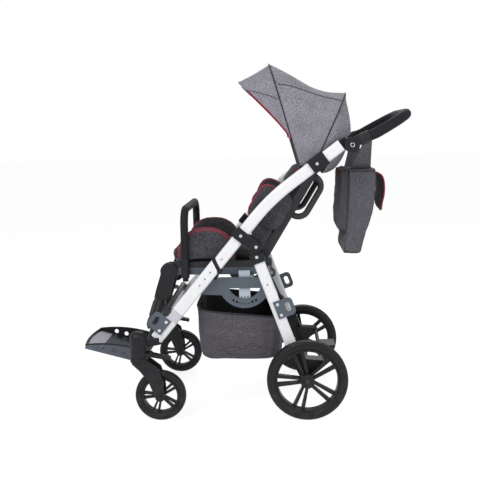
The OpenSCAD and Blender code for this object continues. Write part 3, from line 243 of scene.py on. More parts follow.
def plated(name):
    """Zinc plate: brushed along Z, with brighter and duller patches."""
    f = Finish(name, Metallic=1.0)
    brush, broad = f.grain(900, 2, stretch=(1, 1, 0.12)), f.grain(70, 3)
    f.feed("Base Color", f.tint(broad, (0.62, 0.62, 0.63), (0.8, 0.8, 0.79)))
    f.feed("Roughness", 0.24 + brush * 0.2)
    f.relief(brush, 0.1, 0.0002)
    return f.material


WEAVE_PITCH, TWILL_PITCH = 0.0012, 0.0016  # metres from one thread to the next


def woven(name, dark, light, source="Object"):
    """Plain weave of mixed dark and light yarn: streaks along both threads, flecks, painted shade in the hollows
    between threads and a fine relief.
    """
    f = Finish(name, Roughness=0.95, Specular_IOR_Level=0.2, Sheen_Weight=0.12, Sheen_Roughness=0.6)
    if source == "UV":
        warp = f.grain(1, 3, source, (820, 90, 1))
        weft = f.grain(1, 3, source, (90, 820, 1))
        u, v, _ = f.axes(source)
        cross = (u * (math.tau / WEAVE_PITCH)).wave() * (v * (math.tau / WEAVE_PITCH)).wave()
    else:
        warp = f.grain(1, 3, source, (780, 780, 95))
        weft = f.grain(1, 3, source, (95, 780, 780))
        x, y, z = ((a * (math.tau / WEAVE_PITCH)).wave() for a in f.axes(source))
        cross = x * y + y * z + z * x
    yarn = warp * 0.5 + weft * 0.5
    patch, mottle = f.grain(16, 3, source), f.grain(150, 3, source)
    tone = f.rise(yarn + (patch - 0.5) * 0.14 + (mottle - 0.5) * 0.3, 0.34, 0.66)
    cover = f.tint(tone, dark, light)
    # Painted shade: the colour is darker where the weave's relief is low, in the hollows between threads.
    f.feed("Base Color", f.tint(f.rise(cross, 0.2, -1.0) * 0.3, cover, shade(dark, 0.6)))
    f.relief(cross * 0.6 + yarn, 0.35, 0.0005)
    return f.material


def netted(name, colour):
    """Spacer mesh: small round openings in a knitted face, with painted shade darkening the openings."""
    f = Finish(name, Roughness=0.9, Specular_IOR_Level=0.2, Sheen_Weight=0.1)
    cells, broad = f.cells(380.0), f.grain(20, 3)
    cover = f.tint(broad, shade(colour, 0.8), shade(colour, 1.35))
    # Painted shade: the colour is darker in the openings, where the relief is low.
    f.feed("Base Color", f.tint(f.rise(cells, 0.34, 0.12), cover, shade(colour, 0.35)))
    f.relief(cells, 0.35, 0.0006)
    return f.material


def corded(name, colour):
    """Piping and webbing: a tight twill with a slight shine."""
    f = Finish(name, Roughness=0.7, Specular_IOR_Level=0.3, Sheen_Weight=0.15)
    x, y, z = f.axes()
    twill = ((x + y + z) * (math.tau / TWILL_PITCH)).wave()
    fibre = f.grain(700, 3)
    f.feed("Base Color", f.tint(fibre, shade(colour, 0.7), shade(colour, 1.25)))
    f.relief(twill * 0.4 + fibre, 0.3, 0.0004)
    return f.material


WHITE_PAINT = ((0.82, 0.82, 0.83), 0.32, (0.6, 0.59, 0.57))
SLATE_PAINT = ((0.085, 0.105, 0.132), 0.42, (0.2, 0.22, 0.25), 0.15)
WHITE = painted("white powder coat", *WHITE_PAINT)
WHITE_BAND = painted("white powder coat with a grey band", *WHITE_PAINT, band=(-0.1499, -0.1105))
SLATE = painted("slate paint", *SLATE_PAINT)
RAIL = painted("rail paint", *SLATE_PAINT, black_above=0.529)
PALE = painted("pale grey paint", (0.44, 0.5, 0.56), 0.36, (0.62, 0.65, 0.68), 0.1)
STEEL_BLACK = painted("black powder coat", (0.014, 0.014, 0.017), 0.4, (0.09, 0.09, 0.09))
PLASTIC = moulded("black moulded plastic", (0.0105, 0.0105, 0.013), 0.4)
GLOSS = moulded("black wheel plastic", (0.0075, 0.0075, 0.009), 0.3, 900, 0.1)
TYRE = moulded("tyre rubber", (0.0075, 0.0075, 0.009), 0.42, 700, 0.2)
FOAM = foamed("black foam", (0.01, 0.01, 0.0125))
# The footplate tray's inside is painted near black as shade.
TRAY_GREY = moulded("grey tray plastic with painted inner shade", (0.085, 0.098, 0.12), 0.46, painted_shade_within=0.1202)
PANEL = moulded("pale tray panel", (0.3, 0.3, 0.34), 0.5)
BOLT = plated("zinc plated steel")
MELANGE = woven("grey melange cloth", (0.1, 0.095, 0.112), (0.39, 0.375, 0.425), "UV")
BAG_CLOTH = woven("dark melange cloth", (0.034, 0.033, 0.039), (0.16, 0.155, 0.178), "UV")
POCKET_CLOTH = woven("pocket cloth", (0.03, 0.03, 0.033), (0.105, 0.103, 0.11), "UV")
BASKET_CLOTH = woven("basket melange cloth", (0.034, 0.031, 0.037), (0.145, 0.134, 0.155), "UV")
CHARCOAL = woven("charcoal seat cloth", (0.018, 0.018, 0.02), (0.072, 0.071, 0.076))
CHARCOAL_PALE = woven("mid grey seat cloth", (0.022, 0.021, 0.025), (0.095, 0.091, 0.104))
MESH = netted("black spacer mesh", (0.02, 0.02, 0.022))
LINING = netted("canopy lining", (0.028, 0.027, 0.03))
RED = corded("red piping", (0.42, 0.008, 0.035))
SEAM = corded("dark seam tape", (0.022, 0.022, 0.026))
WEB = corded("black webbing", (0.016, 0.016, 0.018))

NODE_FINISH = {
    WHITE: "push_tubes rear_tubes",
    WHITE_BAND: "front_tubes",
    SLATE: "quadrant_plates front_tie_downs rear_tie_downs",
    PALE: "latch_brackets",
    RAIL: "seat_frame",
    STEEL_BLACK: "base_tubes front_cross_tube upper_cross_tube rear_axle back_frame leg_bars "
                 "canopy_rear_bow canopy_front_bow handle_bar",
    PLASTIC: "front_hinge_blocks caster_housings upper_hinge_blocks sleeve_brackets canopy_clamps handle_hubs "
             "leg_sockets axle_brackets brake_bar bumper_sockets knee_covers arm_sockets swivel_lock_left "
             "swivel_lock_right caster_fork_left caster_fork_right handle_button_left handle_button_right",
    GLOSS: "front_rim_left front_rim_right rear_rim_left rear_rim_right",
    TYRE: "front_tyre_left front_tyre_right rear_tyre_left rear_tyre_right",
    FOAM: "bumper_bar handle_grip",
    TRAY_GREY: "footplate",
    BOLT: "front_bolts upper_bolts rear_bolts",
    CHARCOAL: "seat_cushion hip_bolsters back_cushion side_wings calf_pad",
    MELANGE: "canopy_fabric canopy_visor canopy_drape",
    BAG_CLOTH: "bag basket",
    WEB: "bag_straps",
}
for finish, names in NODE_FINISH.items():
    for name in names.split():
        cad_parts[name].data.materials.clear()
        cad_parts[name].data.materials.append(finish)


# Piece making

def piece(name, mesh, finishes, body=None):
    if isinstance(mesh, bmesh.types.BMesh):
        bm, mesh = mesh, bpy.data.meshes.new(name)
        bm.to_mesh(mesh)
        bm.free()
    made = bpy.data.objects.new(name, mesh)
    scene.collection.objects.link(made)
    dress(made, finishes)
    if body:
        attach(made, body)
    return made


def dress(made, finishes):
    made.data.materials.clear()
    for finish in finishes:
        made.data.materials.append(finish)
    for face in made.data.polygons:
        face.use_smooth = True


def settle(made):
    """The piece's modifiers become its mesh."""
    bpy.context.view_layer.update()
    graph = bpy.context.evaluated_depsgraph_get()
    mesh = bpy.data.meshes.new_from_object(made.evaluated_get(graph), preserve_all_data_layers=True,
                                           depsgraph=graph)
    made.modifiers.clear()
    made.data = mesh


def points_of(made):
    found = np.empty(len(made.data.vertices) * 3)
    made.data.vertices.foreach_get("co", found)
    return found.reshape(-1, 3)


def put_points(made, points):
    made.data.vertices.foreach_set("co", np.asarray(points, np.float32).ravel())
    made.data.update()


def bead(bm, points, radius, closed=False, rounds=2):
    """A round cord along the points."""
    line = bpy.data.curves.new("bead", "CURVE")
    line.dimensions, line.use_fill_caps = "3D", True
    line.bevel_depth, line.bevel_resolution = radius * MM, rounds
    run = line.splines.new("POLY")
    run.points.add(len(points) - 1)
    run.points.foreach_set("co", [c for p in points for c in (*p, 1.0)])
    run.use_cyclic_u = closed
    carrier = bpy.data.objects.new("bead", line)
    scene.collection.objects.link(carrier)
    bpy.context.view_layer.update()
    mesh = bpy.data.meshes.new_from_object(carrier.evaluated_get(bpy.context.evaluated_depsgraph_get()))
    bm.from_mesh(mesh)
    bpy.data.objects.remove(carrier)
    bpy.data.meshes.remove(mesh)
    bpy.data.curves.remove(line)
    return bm


def cords(name, runs, radius, finish, body, closed=False):
    bm = bmesh.new()
    for run in runs:
        bead(bm, run, radius, closed)
    return piece(name, bm, [finish], body)


def turned(bm, parts, centre, axis, steps):
    """A full turn of a drawn section about an axis."""
    bmesh.ops.spin(bm, geom=parts, cent=centre, axis=axis, angle=math.tau, steps=steps, use_merge=True)
    bmesh.ops.remove_doubles(bm, verts=bm.verts, dist=MERGE)
    bmesh.ops.recalc_face_normals(bm, faces=bm.faces)


def softened(bm, offset):
    bmesh.ops.bevel(bm, geom=bm.edges[:], offset=offset, segments=2, profile=0.5, affect="EDGES", material=-1)


def walled(made, thickness):
    wall = made.modifiers.new("wall", "SOLIDIFY")
    wall.thickness, wall.offset, wall.use_even_offset = thickness * MM, 0.0, False
    wall.material_offset = 1 if len(made.data.materials) > 1 else 0
    settle(made)


def cloth(name, surface, columns, rows, thickness, finishes, size, flipped=False):
    """A sheet from a grid laid on a surface of two shares, with its weave laid out in metres on a UV map."""
    bm = bmesh.new()
    bmesh.ops.create_grid(bm, x_segments=columns, y_segments=rows, size=0.5)
    weave = bm.loops.layers.uv.new("weave")
    for face in bm.faces:
        for corner in face.loops:
            corner[weave].uv = ((corner.vert.co.x + 0.5) * size[0], (corner.vert.co.y + 0.5) * size[1])
    for vert in bm.verts:
        vert.co = surface(vert.co.x + 0.5, vert.co.y + 0.5)
    bmesh.ops.remove_doubles(bm, verts=bm.verts, dist=MERGE)
    if flipped:
        bmesh.ops.reverse_faces(bm, faces=bm.faces)
    area = sum(face.calc_area() for face in bm.faces)
    made = piece(name, bm, finishes)
    walled(made, thickness)
    return made, area


HEM_SHARE = 1.12  # cloth cut for the hems and seams, as a share of what shows


def sheeted(made, area, width):
    length = max(area / width * HEM_SHARE, 0.01)


def row(skin, count, *rest):
    """Points along a surface's first share."""
    return [skin(k / count, *rest) for k in range(count + 1)]


def row_length(skin, t, steps=200):
    points = row(skin, steps, t)
    return sum((b - a).length for a, b in zip(points, points[1:]))


def bent(p, t):
    """Catmull-Rom point between the second and third of four points."""
    return 0.5 * (2 * p[1] + (p[2] - p[0]) * t + (2 * p[0] - 5 * p[1] + 4 * p[2] - p[3]) * t * t
                  + (3 * p[1] - p[0] - 3 * p[2] + p[3]) * t ** 3)


def closed_curve(points, share):
    n = len(points)
    at = (share % 1.0) * n
    k = int(at)
    return bent([np.array(points[(k + j) % n]) for j in (-1, 0, 1, 2)], at - k)


def open_curve(points, share):
    n = len(points) - 1
    at = min(max(share, 0.0), 1.0) * n
    k = min(int(at), n - 1)
    return bent([np.array(points[min(max(k + j, 0), n)]) for j in (-1, 0, 1, 2)], at - k)


def from_table(table, share):
    """Values of a table's later columns at a share of its first."""
    shares, *columns = zip(*table)
    return [np.interp(share, shares, column) for column in columns]


# Padded pieces: the CAD solid's own shape, remeshed and blown up as sewn cloth

PAD_SHRINK, PAD_VOXEL, PAD_PRESSURE, PAD_STEPS = 3.0, 0.005, 4.0, 20
CHANNEL_DEPTH, CHANNEL_WIDTH, CORD_LIFT = 4.5, 6.0, 0.4
PIPING_R, CUSHION_PIPING_R, SIDE_PAD_CAP = 1.7, 1.8, 7.0
OUTWARDS = 0.55  # share of a face's normal that points away from the seat, for it to take the outer cloth


def copy_of(node, side):
    bm = bmesh.new()
    bm.from_mesh(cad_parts[node].data)
    bmesh.ops.remove_doubles(bm, verts=bm.verts, dist=CAD_MERGE)
    if side:
        bmesh.ops.delete(bm, geom=[v for v in bm.verts if v.co.y * side < 0], context="VERTS")
    return bm


def carried(matrix, points):
    m = np.array(matrix)
    return points @ m[:3, :3].T + m[:3, 3]


def pad(name, node, body, local, room, side=0, cap=9.0, finishes=(CHARCOAL,)):
    """room is how far the swollen pad may pass the solid's own box: ((x, y, z) below, above), in local mm."""
    bm = copy_of(node, side)
    bm.normal_update()
    for vert in bm.verts:
        vert.co -= vert.normal * PAD_SHRINK * MM
    made = piece(name, bm, finishes)
    solid = np.array([v.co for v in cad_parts[node].data.vertices if v.co.y * side >= 0])
    grid = made.modifiers.new("grid", "REMESH")
    grid.mode, grid.voxel_size = "VOXEL", PAD_VOXEL
    settle(made)
    start = points_of(made)
    blow = made.modifiers.new("blow", "CLOTH")
    blow.settings.quality = 5
    blow.settings.use_pressure = True
    blow.settings.uniform_pressure_force = PAD_PRESSURE
    blow.settings.effector_weights.gravity = 0.0
    blow.point_cache.frame_start, blow.point_cache.frame_end = 1, PAD_STEPS
    for step in range(1, PAD_STEPS + 1):
        scene.frame_set(step)
    settle(made)
    scene.frame_set(1)
    moved = points_of(made) - start
    reach = np.linalg.norm(moved, axis=1, keepdims=True)
    start = start + moved * np.minimum(1.0, cap * MM / np.maximum(reach, 1e-9))
    box = carried(local.inverted(), solid)
    low, high = box.min(0) - np.array(room[0]), box.max(0) + np.array(room[1])
    put_points(made, carried(local, np.clip(carried(local.inverted(), start), low, high)))
    fine = made.modifiers.new("fine", "SUBSURF")
    fine.levels = fine.render_levels = 1
    settle(made)
    dress(made, finishes)
    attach(made, body)
    return made


def channels(*places):
    """Seam lines across a pad at these local x."""
    return [lambda x, y, z, k=k: x - k for k in places]


def pinch(made, local, lines, face):
    """Sewn channels: points of the side that looks along face sink near each line, a distance in local mm."""
    p = points_of(made)
    q = carried(local.inverted(), p)
    normal = np.empty(len(p) * 3)
    made.data.vertices.foreach_get("normal", normal)
    out = (np.array(local)[:3, :3] @ np.array(face, float)) / MM
    facing = np.clip(normal.reshape(-1, 3) @ out, 0, 1)
    sink = np.zeros(len(p))
    for line in lines:
        sink = np.maximum(sink, np.exp(-(line(*q.T) / CHANNEL_WIDTH) ** 2))
    put_points(made, p - out * (CHANNEL_DEPTH * MM * sink * facing)[:, None])


def oval(middle, reach, first, last, count):
    """Points of an oval from one angle to another."""
    turns = [math.radians(a) for a in np.linspace(first, last, count)]
    return [(middle[0] + reach[0] * math.cos(a), middle[1] + reach[1] * math.sin(a)) for a in turns]


def on_skin(made, local, starts, middle):
    """Where rays from local starts to a middle meet a pad's skin, lifted a little; None skips an axis."""
    bm = bmesh.new()
    bm.from_mesh(made.data)
    tree = BVHTree.FromBMesh(bm)
    bm.free()
    found = []
    for start in starts:
        way = Vector([0.0 if m is None else m - s for s, m in zip(start, middle)])
        way = (local.to_3x3() @ way).normalized()
        hit = tree.ray_cast(local @ Vector(start), way)[0]
        if hit is not None:
            found.append(hit - way * CORD_LIFT * MM)
    return found


def outer_cloth(made, side):
    """The face that looks away from the seat takes the pad's second finish."""
    for face in made.data.polygons:
        face.material_index = 1 if face.normal.y * side > OUTWARDS else 0


seat = pad("seat_cushion_pad", "seat_cushion", "seat", AXLE, ((4, 2, 0), (4, 2, 9)))
pinch(seat, AXLE, channels(262, 338, 414), (0, 0, 1))
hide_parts("seat_cushion")

back = pad("back_cushion_pad", "back_cushion", "backrest", BACK, ((3, 2, 9), (3, 2, 0)))
pinch(back, BACK, channels(120, 200, 280) + [lambda x, y, z: abs(y) - 92], (0, 0, -1))
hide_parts("back_cushion")

calf = pad("calf_pad_cover", "calf_pad", "leg_rest", LEG, ((3, 2, 0), (3, 2, 8)))
pinch(calf, LEG, channels(136, 206), (0, 0, 1))
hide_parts("calf_pad")

bolsters, wings = [], []
for hand, side in SIDES:
    bolster = pad(f"hip_bolster_{hand}", "hip_bolsters", "seat", AXLE, ((4, 2, 0), (4, 2, 4)), side,
                  SIDE_PAD_CAP, (CHARCOAL, CHARCOAL_PALE))
    outer_cloth(bolster, side)
    arch = oval((354, 551.3), (175, 190), 3, 177, 80)
    rims = [on_skin(bolster, AXLE, [(x, side * y, z) for x, z in arch], (354, None, 572))
            for y in (172.5, 183.5)]
    cords(f"hip_bolster_piping_{hand}", rims, PIPING_R, RED, "seat")
    bolsters.append(bolster)
    wing = pad(f"side_wing_{hand}", "side_wings", "backrest", BACK,
               ((4, 0 if side > 0 else 3, 4), (4, 3 if side > 0 else 0, 4)), side,
               SIDE_PAD_CAP, (CHARCOAL, CHARCOAL_PALE))
    outer_cloth(wing, side)
    arch = oval((190, -72), (140, 150), 205, 378, 70)
    rims = [on_skin(wing, BACK, [(x, side * y, z) for x, z in arch], (190, None, -72))
            for y in (174, 192.5)]
    cords(f"side_wing_piping_{hand}", rims, PIPING_R, RED, "backrest")
    wings.append(wing)
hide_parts("hip_bolsters")
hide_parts("side_wings")

starts = [(x, y, 583) for x, y in oval((338, 0), (230, 220), 0, 360, 141)[:-1]]
seat_rim = on_skin(seat, AXLE, starts, (338, 0, None))
cords("seat_cushion_piping", [seat_rim], CUSHION_PIPING_R, SEAM, "seat", True)
starts = [(x, y, -52) for x, y in oval((216, 0), (240, 220), 0, 360, 141)[:-1]]
back_rim = on_skin(back, BACK, starts, (216, 0, None))
cords("back_cushion_piping", [back_rim], CUSHION_PIPING_R, RED, "backrest", True)


# Canopy: one sheet from bow to bow, with a visor ahead of the front bow and a drape behind the rear one

BOW_HALF, BOW_BEND, BOW_FOOT = 204.0, 118.0, 14.0
FRONT_BOW, REAR_BOW = (14.0, 872.0, 74.0, 380.0), (-38.0, 900.0, 115.0, 256.0)  # x, z, angle, length
SKIN_OFF, CREASE_OFF, SEAM_OFF, TAPE_OFF = 5.8, 6.9, 7.2, 7.4  # cloth and cords from the bow's middle line
CANOPY_SAG, CANOPY_FOLD, DRAPE_FOLD = 49.0, 1.6, 3.0
DRAPE_IN, DRAPE_SHORT, DRAPE_TIGHT, DRAPE_FOOT, DRAPE_START, DRAPE_SWING = 21, 103, 70, 80, 0.65, 26.4
VISOR_FOOT, VISOR_REACH, VISOR_DROP, VISOR_LEAST = 118, 122, math.radians(28), 0.05
CREASE_Z, VISOR_TIP_Z = 1.113, 1.150


def bow_line(share, half, length, bend, foot):
    """Point (out along the bow, across) of a U path at a share of its length, from the left foot."""
    straight, turn, top = length - bend - foot, bend * math.pi / 2, 2 * (half - bend)
    d = share * (2 * straight + 2 * turn + top)
    mirrored = d > straight + turn + top / 2
    if mirrored:
        d = 2 * straight + 2 * turn + top - d
    if d < straight:
        u, y = foot + d, half
    elif d < straight + turn:
        a = (d - straight) / bend
        u, y = length - bend + bend * math.sin(a), half - bend + bend * math.cos(a)
    else:
        u, y = length, half - bend - (d - straight - turn)
    return u, -y if mirrored else y


def on_bow(u, y, x, z, angle):
    a = math.radians(angle)
    return spot(x + u * math.cos(a), y, z + u * math.sin(a))


def ripple(s, t, scale, seed):
    return noise.noise(Vector((s * scale, t * scale * 0.6, seed)))


def canopy_skin(s, t, off=SKIN_OFF):
    tight = math.sin(math.pi * t)
    off += tight * CANOPY_FOLD * ripple(s, t, 9, 3.1)
    x, z, angle, length = (mixed(a, b, t) for a, b in zip(REAR_BOW, FRONT_BOW))
    length += off + 2 * t ** 8 - CANOPY_SAG * tight
    u, y = bow_line(s, BOW_HALF + off, length, BOW_BEND + off, BOW_FOOT)
    return on_bow(u, y, x, z, angle)


def drape_skin(s, t, off=SKIN_OFF):
    x, z, angle, length = REAR_BOW
    off += DRAPE_FOLD * math.sin(math.pi * t) * math.sin(math.pi * s) ** 2 * ripple(s, t, 7, 8.4)
    u, y = bow_line(s, BOW_HALF + off - DRAPE_IN * t * t, length - DRAPE_SHORT * t ** 0.65 + off,
                    BOW_BEND + off - DRAPE_TIGHT * t, BOW_FOOT + DRAPE_FOOT * t)
    return on_bow(u, y, x, z, angle + DRAPE_START + DRAPE_SWING * t)


def visor_skin(s, t, off=SKIN_OFF):
    x, z, angle, length = FRONT_BOW
    u, y = bow_line(s, BOW_HALF + off, length + off, BOW_BEND + off, VISOR_FOOT)
    share = ((u - VISOR_FOOT) / (length - VISOR_FOOT)) ** 1.15 if u > VISOR_FOOT else VISOR_LEAST
    share = min(1.0, max(VISOR_LEAST, share))
    reach = VISOR_REACH * t * share + 0.4
    dip = 5.0 * math.exp(-((u - 262 + 40 * t) / 12) ** 2) * smooth(0.1, 0.6, t)
    point = on_bow(u, y - math.copysign(dip if abs(y) > 150 else 0, y), x, z, angle)
    sag = 3.0 * math.sin(math.pi * t) * share
    return point + Vector((reach * math.cos(VISOR_DROP), 0, -reach * math.sin(VISOR_DROP) - sag)) * MM


def sided(share, side):
    return share if side > 0 else 1 - share


def roof_share(t):
    """Share along the bow at which the roof seam runs, for a share from the rear bow to the front one."""
    return 0.3 - 0.024 * (2 * t - 1) ** 2


def visor_share_at(height, t):
    """Share along the visor's left half at which it reaches a height."""
    low, high = 0.0, 0.5
    for _ in range(30):
        mid = (low + high) / 2
        low, high = (mid, high) if visor_skin(mid, t).z < height else (low, mid)
    return low


CANOPY_CLOTH = [MELANGE, LINING]
canopy_width = row_length(canopy_skin, 1.0)
canopy, canopy_area = cloth("canopy_main_cloth", canopy_skin, 150, 40, 1.6, CANOPY_CLOTH, (canopy_width, 0.3))
bend_start, bend_end = (on_bow(0.55 * length, 0, x, z, angle)
                        for x, z, angle, length in (REAR_BOW, FRONT_BOW))
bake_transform(canopy)
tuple(bend_start)
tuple(bend_end)
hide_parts("canopy_fabric")
roof_runs = [[canopy_skin(sided(roof_share(t), side), t, SEAM_OFF) for t in np.linspace(0.02, 0.97, 50)]
             for _, side in SIDES]
roof_seam = cords("canopy_roof_seams", roof_runs, 1.5, SEAM, None)
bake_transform(roof_seam)
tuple(bend_start)
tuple(bend_end)
sheeted(canopy, canopy_area, canopy_width)

visor_width = row_length(visor_skin, 0.5)
visor, visor_area = cloth("canopy_visor_cloth", visor_skin, 140, 18, 1.8, CANOPY_CLOTH, (visor_width, 0.13))
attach(visor, "canopy_front")
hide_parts("canopy_visor")
edge = row(visor_skin, 200, 1.0)
tip = [k for k, point in enumerate(edge) if point.z > VISOR_TIP_Z]
side_edges = [edge[:tip[0] + 1], edge[tip[-1]:]]
red_edges = cords("canopy_red_edges", side_edges, PIPING_R, RED, "canopy_front")
hem = cords("canopy_visor_hem", [edge[tip[0]:tip[-1] + 1]], 2.8, MELANGE, "canopy_front")
crease_t = np.linspace(0.15, 1, 24)
crease_s = [visor_share_at(mixed(CREASE_Z, VISOR_TIP_Z, t), t) for t in crease_t]
crease_runs = [[visor_skin(sided(s, side), t, CREASE_OFF) for s, t in zip(crease_s, crease_t)]
               for _, side in SIDES]
crease = cords("canopy_visor_creases", crease_runs, 1.3, SEAM, "canopy_front")
cords("canopy_front_tape", [row(canopy_skin, 200, 1.0, TAPE_OFF)], 2.0, SEAM, "canopy_front")
sheeted(visor, visor_area, visor_width)

drape_width = row_length(drape_skin, 0.5)
drape, drape_area = cloth("canopy_rear_cloth", drape_skin, 120, 24, 1.6, CANOPY_CLOTH, (drape_width, 0.16),
                          True)
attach(drape, "upper_frame")
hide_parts("canopy_drape")
cords("canopy_rear_tape", [row(canopy_skin, 200, 0.0, TAPE_OFF)], 2.0, SEAM, "upper_frame")
drape_hem = cords("canopy_rear_hem", [row(drape_skin, 160, 1.0)], 2.2, MELANGE, "upper_frame")
sheeted(drape, drape_area, drape_width)


# Basket: a slack cloth tub with a bound rim, hung by bands from the base tubes

BASKET_X, BASKET_HALF_L, BASKET_HALF_W, BASKET_CORNER = 238.0, 160.0, 206.0, 6.0
BASKET_RISE = ((0.0, 0.0, 190.0), (0.2, 0.84, 190.0), (0.28, 0.915, 198.0), (0.36, 0.945, 212.0),
               (0.62, 0.99, 282.0), (1.0, 1.0, 366.0))  # share up the cloth, share of the plan, height
HANGERS = ((396, 381, 335, 472), (80, 350, 140, 464))  # x and z at the rim, x and z at the tube
HANGER_TUCK, HANGER_THICK, HANGER_Y, HANGER_WIDE, BASE_TUBE_R = 14, 2.6, 118, 44, 11.5


def rounded(angle, half_l, half_w):
    bend = lambda v: math.copysign(abs(v) ** (2 / BASKET_CORNER), v)
    return half_l * bend(math.cos(angle)), half_w * bend(math.sin(angle))


def basket_skin(u, v):
    around = u * math.tau
    scale, z = from_table(BASKET_RISE, v)
    x, y = rounded(around, BASKET_HALF_L, BASKET_HALF_W)
    wall = smooth(0.22, 0.4, v) * (1 - smooth(0.86, 1.0, v))
    fold = wall * (3.2 * noise.noise(Vector((math.cos(around) * 5, math.sin(around) * 5, v * 2.2))) - 2.2)
    scale = scale * (1 + fold / 190)
    rim = smooth(0.5, 1.0, v)
    z += 0.1 * x * rim - 4.0 * rim * (1 - abs(math.cos(around)) ** 3)
    z += 3.5 * noise.noise(Vector((x * scale / 60, y * scale / 60, 1.7))) * (1 - smooth(0.2, 0.34, v))
    return spot(BASKET_X + x * scale, y * scale, z)


basket, basket_area = cloth("basket_tub", basket_skin, 160, 60, 2.4, [BASKET_CLOTH, MESH], (1.4, 0.5))
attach(basket, "seat_base")
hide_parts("basket")
rim_tape = cords("basket_rim_tape", [row(basket_skin, 200, 1.0)[:-1]], 3.4, SEAM, "seat_base", True)
bm = bmesh.new()
for x_rim, z_rim, x_tube, z_tube in HANGERS:
    for _, side in SIDES:
        a, b = Vector((x_rim, z_rim - HANGER_TUCK)), Vector((x_tube, z_tube))
        way = (b - a).normalized()
        b = b - way * BASE_TUBE_R
        out = Vector((-way.y, way.x)) * HANGER_THICK
        for vert in bmesh.ops.create_cube(bm, size=1.0)["verts"]:
            base = a.lerp(b, vert.co.z + 0.5) + out * vert.co.x
            vert.co = spot(base.x, side * (HANGER_Y + HANGER_WIDE * vert.co.y), base.y)
softened(bm, 0.0008)
bmesh.ops.recalc_face_normals(bm, faces=bm.faces)
bands = piece("basket_hanger_bands", bm, [WEB], "seat_base")
sheeted(basket, basket_area, 1.25)


# Bag on the push handle: a lofted shell that sags, with a hanging rear flap and two hanging bands

BAG_X, BAG_DEPTH, BAG_Z, BAG_H, BAG_HALF = -296.0, 184.0, 568.0, 300.0, 150.0
BAG_OUTLINE = [(0.56, 0.0), (0.8, 0.0), (0.845, 0.012), (0.84, 0.1), (0.8, 0.25), (0.775, 0.5), (0.76, 0.8),
               (0.745, 0.985), (0.7, 1.0), (0.45, 1.0), (0.28, 1.0), (0.245, 0.985), (0.25, 0.8), (0.29, 0.52),
               (0.4, 0.3), (0.5, 0.08)]
POCKET_OUTLINE = [(0.76, 0.27), (0.9, 0.27), (0.945, 0.3), (0.95, 0.45), (0.935, 0.6), (0.91, 0.8),
                  (0.89, 0.965), (0.84, 0.995), (0.76, 0.995), (0.75, 0.8), (0.75, 0.45)]
FLAP_OUTLINE = [(0.34, 0.985), (0.22, 0.965), (0.1, 0.92), (0.045, 0.83), (0.035, 0.72), (0.05, 0.62),
                (0.06, 0.53)]
BAG_SPREAD = ((0.0, 0.0, -1.012), (0.14, 0.8, -1.0), (0.2, 0.93, -0.985), (0.25, 0.985, -0.94),
              (0.32, 1.0, -0.84), (0.68, 1.0, 0.84), (0.75, 0.985, 0.94), (0.8, 0.93, 0.985),
              (0.86, 0.8, 1.0), (1.0, 0.0, 1.012))  # share over the shell, share of its outline, share across
ZIP_PULL = ((0.875, 90, 0.998), (0.9, 94, 0.985), (0.915, 96, 0.93))
FLAP_HALF, FLAP_WIDTH = 128.0, 0.256
PIPED, PIPED_GROW = (0.215, 0.785), 0.012  # shares over a shell where piping runs, and how far it stands out


def bag_spot(x, y, z):
    """A point from shares of the bag's depth and height, and millimetres across."""
    return spot(BAG_X + BAG_DEPTH * x, y, BAG_Z + BAG_H * z)


def shell(outline, middle, half):
    """Surface of a slack closed shell: an outline in shares of depth and height, swept across the width."""
    def skin(u, v, grow=0.0):
        x, z = closed_curve(outline, u)
        scale, y = from_table(BAG_SPREAD, v)
        wide = scale + grow
        slack = 0.014 * noise.noise(Vector((x * 5, y * 2.4, z * 7)))
        slack += 0.008 * noise.noise(Vector((x * 11, y * 6, z * 15)))
        slack *= smooth(0.0, 0.3, scale) * (1 - smooth(0.9, 1.0, z)) * smooth(0.0, 0.1, z)
        px = middle[0] + (x - middle[0]) * wide + slack * math.copysign(1, x - middle[0])
        pz = middle[1] + (z - middle[1]) * wide
        bulge = 4.0 * math.copysign(1, y) * (1 - scale ** 2) * noise.noise(Vector((px * 4, pz * 5, 2.0)))
        return bag_spot(px, y * half + bulge, pz)
    return skin


def flap_half(v):
    """Half width of the flap at a share down its length, with round lower corners."""
    return FLAP_HALF * (1 - 0.3 * smooth(0.62, 1.0, v) ** 2) - 6 * math.sin(math.pi * v)


def flap_skin(u, v):
    x, z = open_curve(FLAP_OUTLINE, v)
    out = 2 * u - 1
    curl = 0.03 * (abs(out) ** 3) * smooth(0.2, 0.9, v)
    lift = 0.055 * (1 - abs(out) ** 2) * smooth(0.75, 1.0, v)
    wave = 0.012 * noise.noise(Vector((u * 4, v * 3, 5.0)))
    return bag_spot(x + curl + wave, out * flap_half(v), z - lift)


bag_skin = shell(BAG_OUTLINE, (0.56, 0.5), BAG_HALF - 1)
pocket_skin = shell(POCKET_OUTLINE, (0.85, 0.63), BAG_HALF - 10)
bag, _ = cloth("bag_body", bag_skin, 150, 110, 2.2, [BAG_CLOTH, MESH], (0.85, 0.62), True)
pocket, _ = cloth("bag_front_pocket", pocket_skin, 110, 90, 2.0, [POCKET_CLOTH, MESH], (0.6, 0.5), True)
for shell_piece in (bag, pocket):
    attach(shell_piece, "upper_frame")
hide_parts("bag")
panel_edges = [row(bag_skin, 160, v, PIPED_GROW)[:-1] for v in PIPED]
cords("bag_panel_piping", panel_edges, 1.6, SEAM, "upper_frame", True)
pocket_edges = [row(pocket_skin, 120, v, PIPED_GROW)[:-1] for v in PIPED]
cords("bag_pocket_piping", pocket_edges, 1.4, SEAM, "upper_frame", True)
cords("bag_zip_pulls", [[bag_spot(x, side * y, z) for x, y, z in ZIP_PULL] for _, side in SIDES], 2.4, RED,
      "upper_frame")

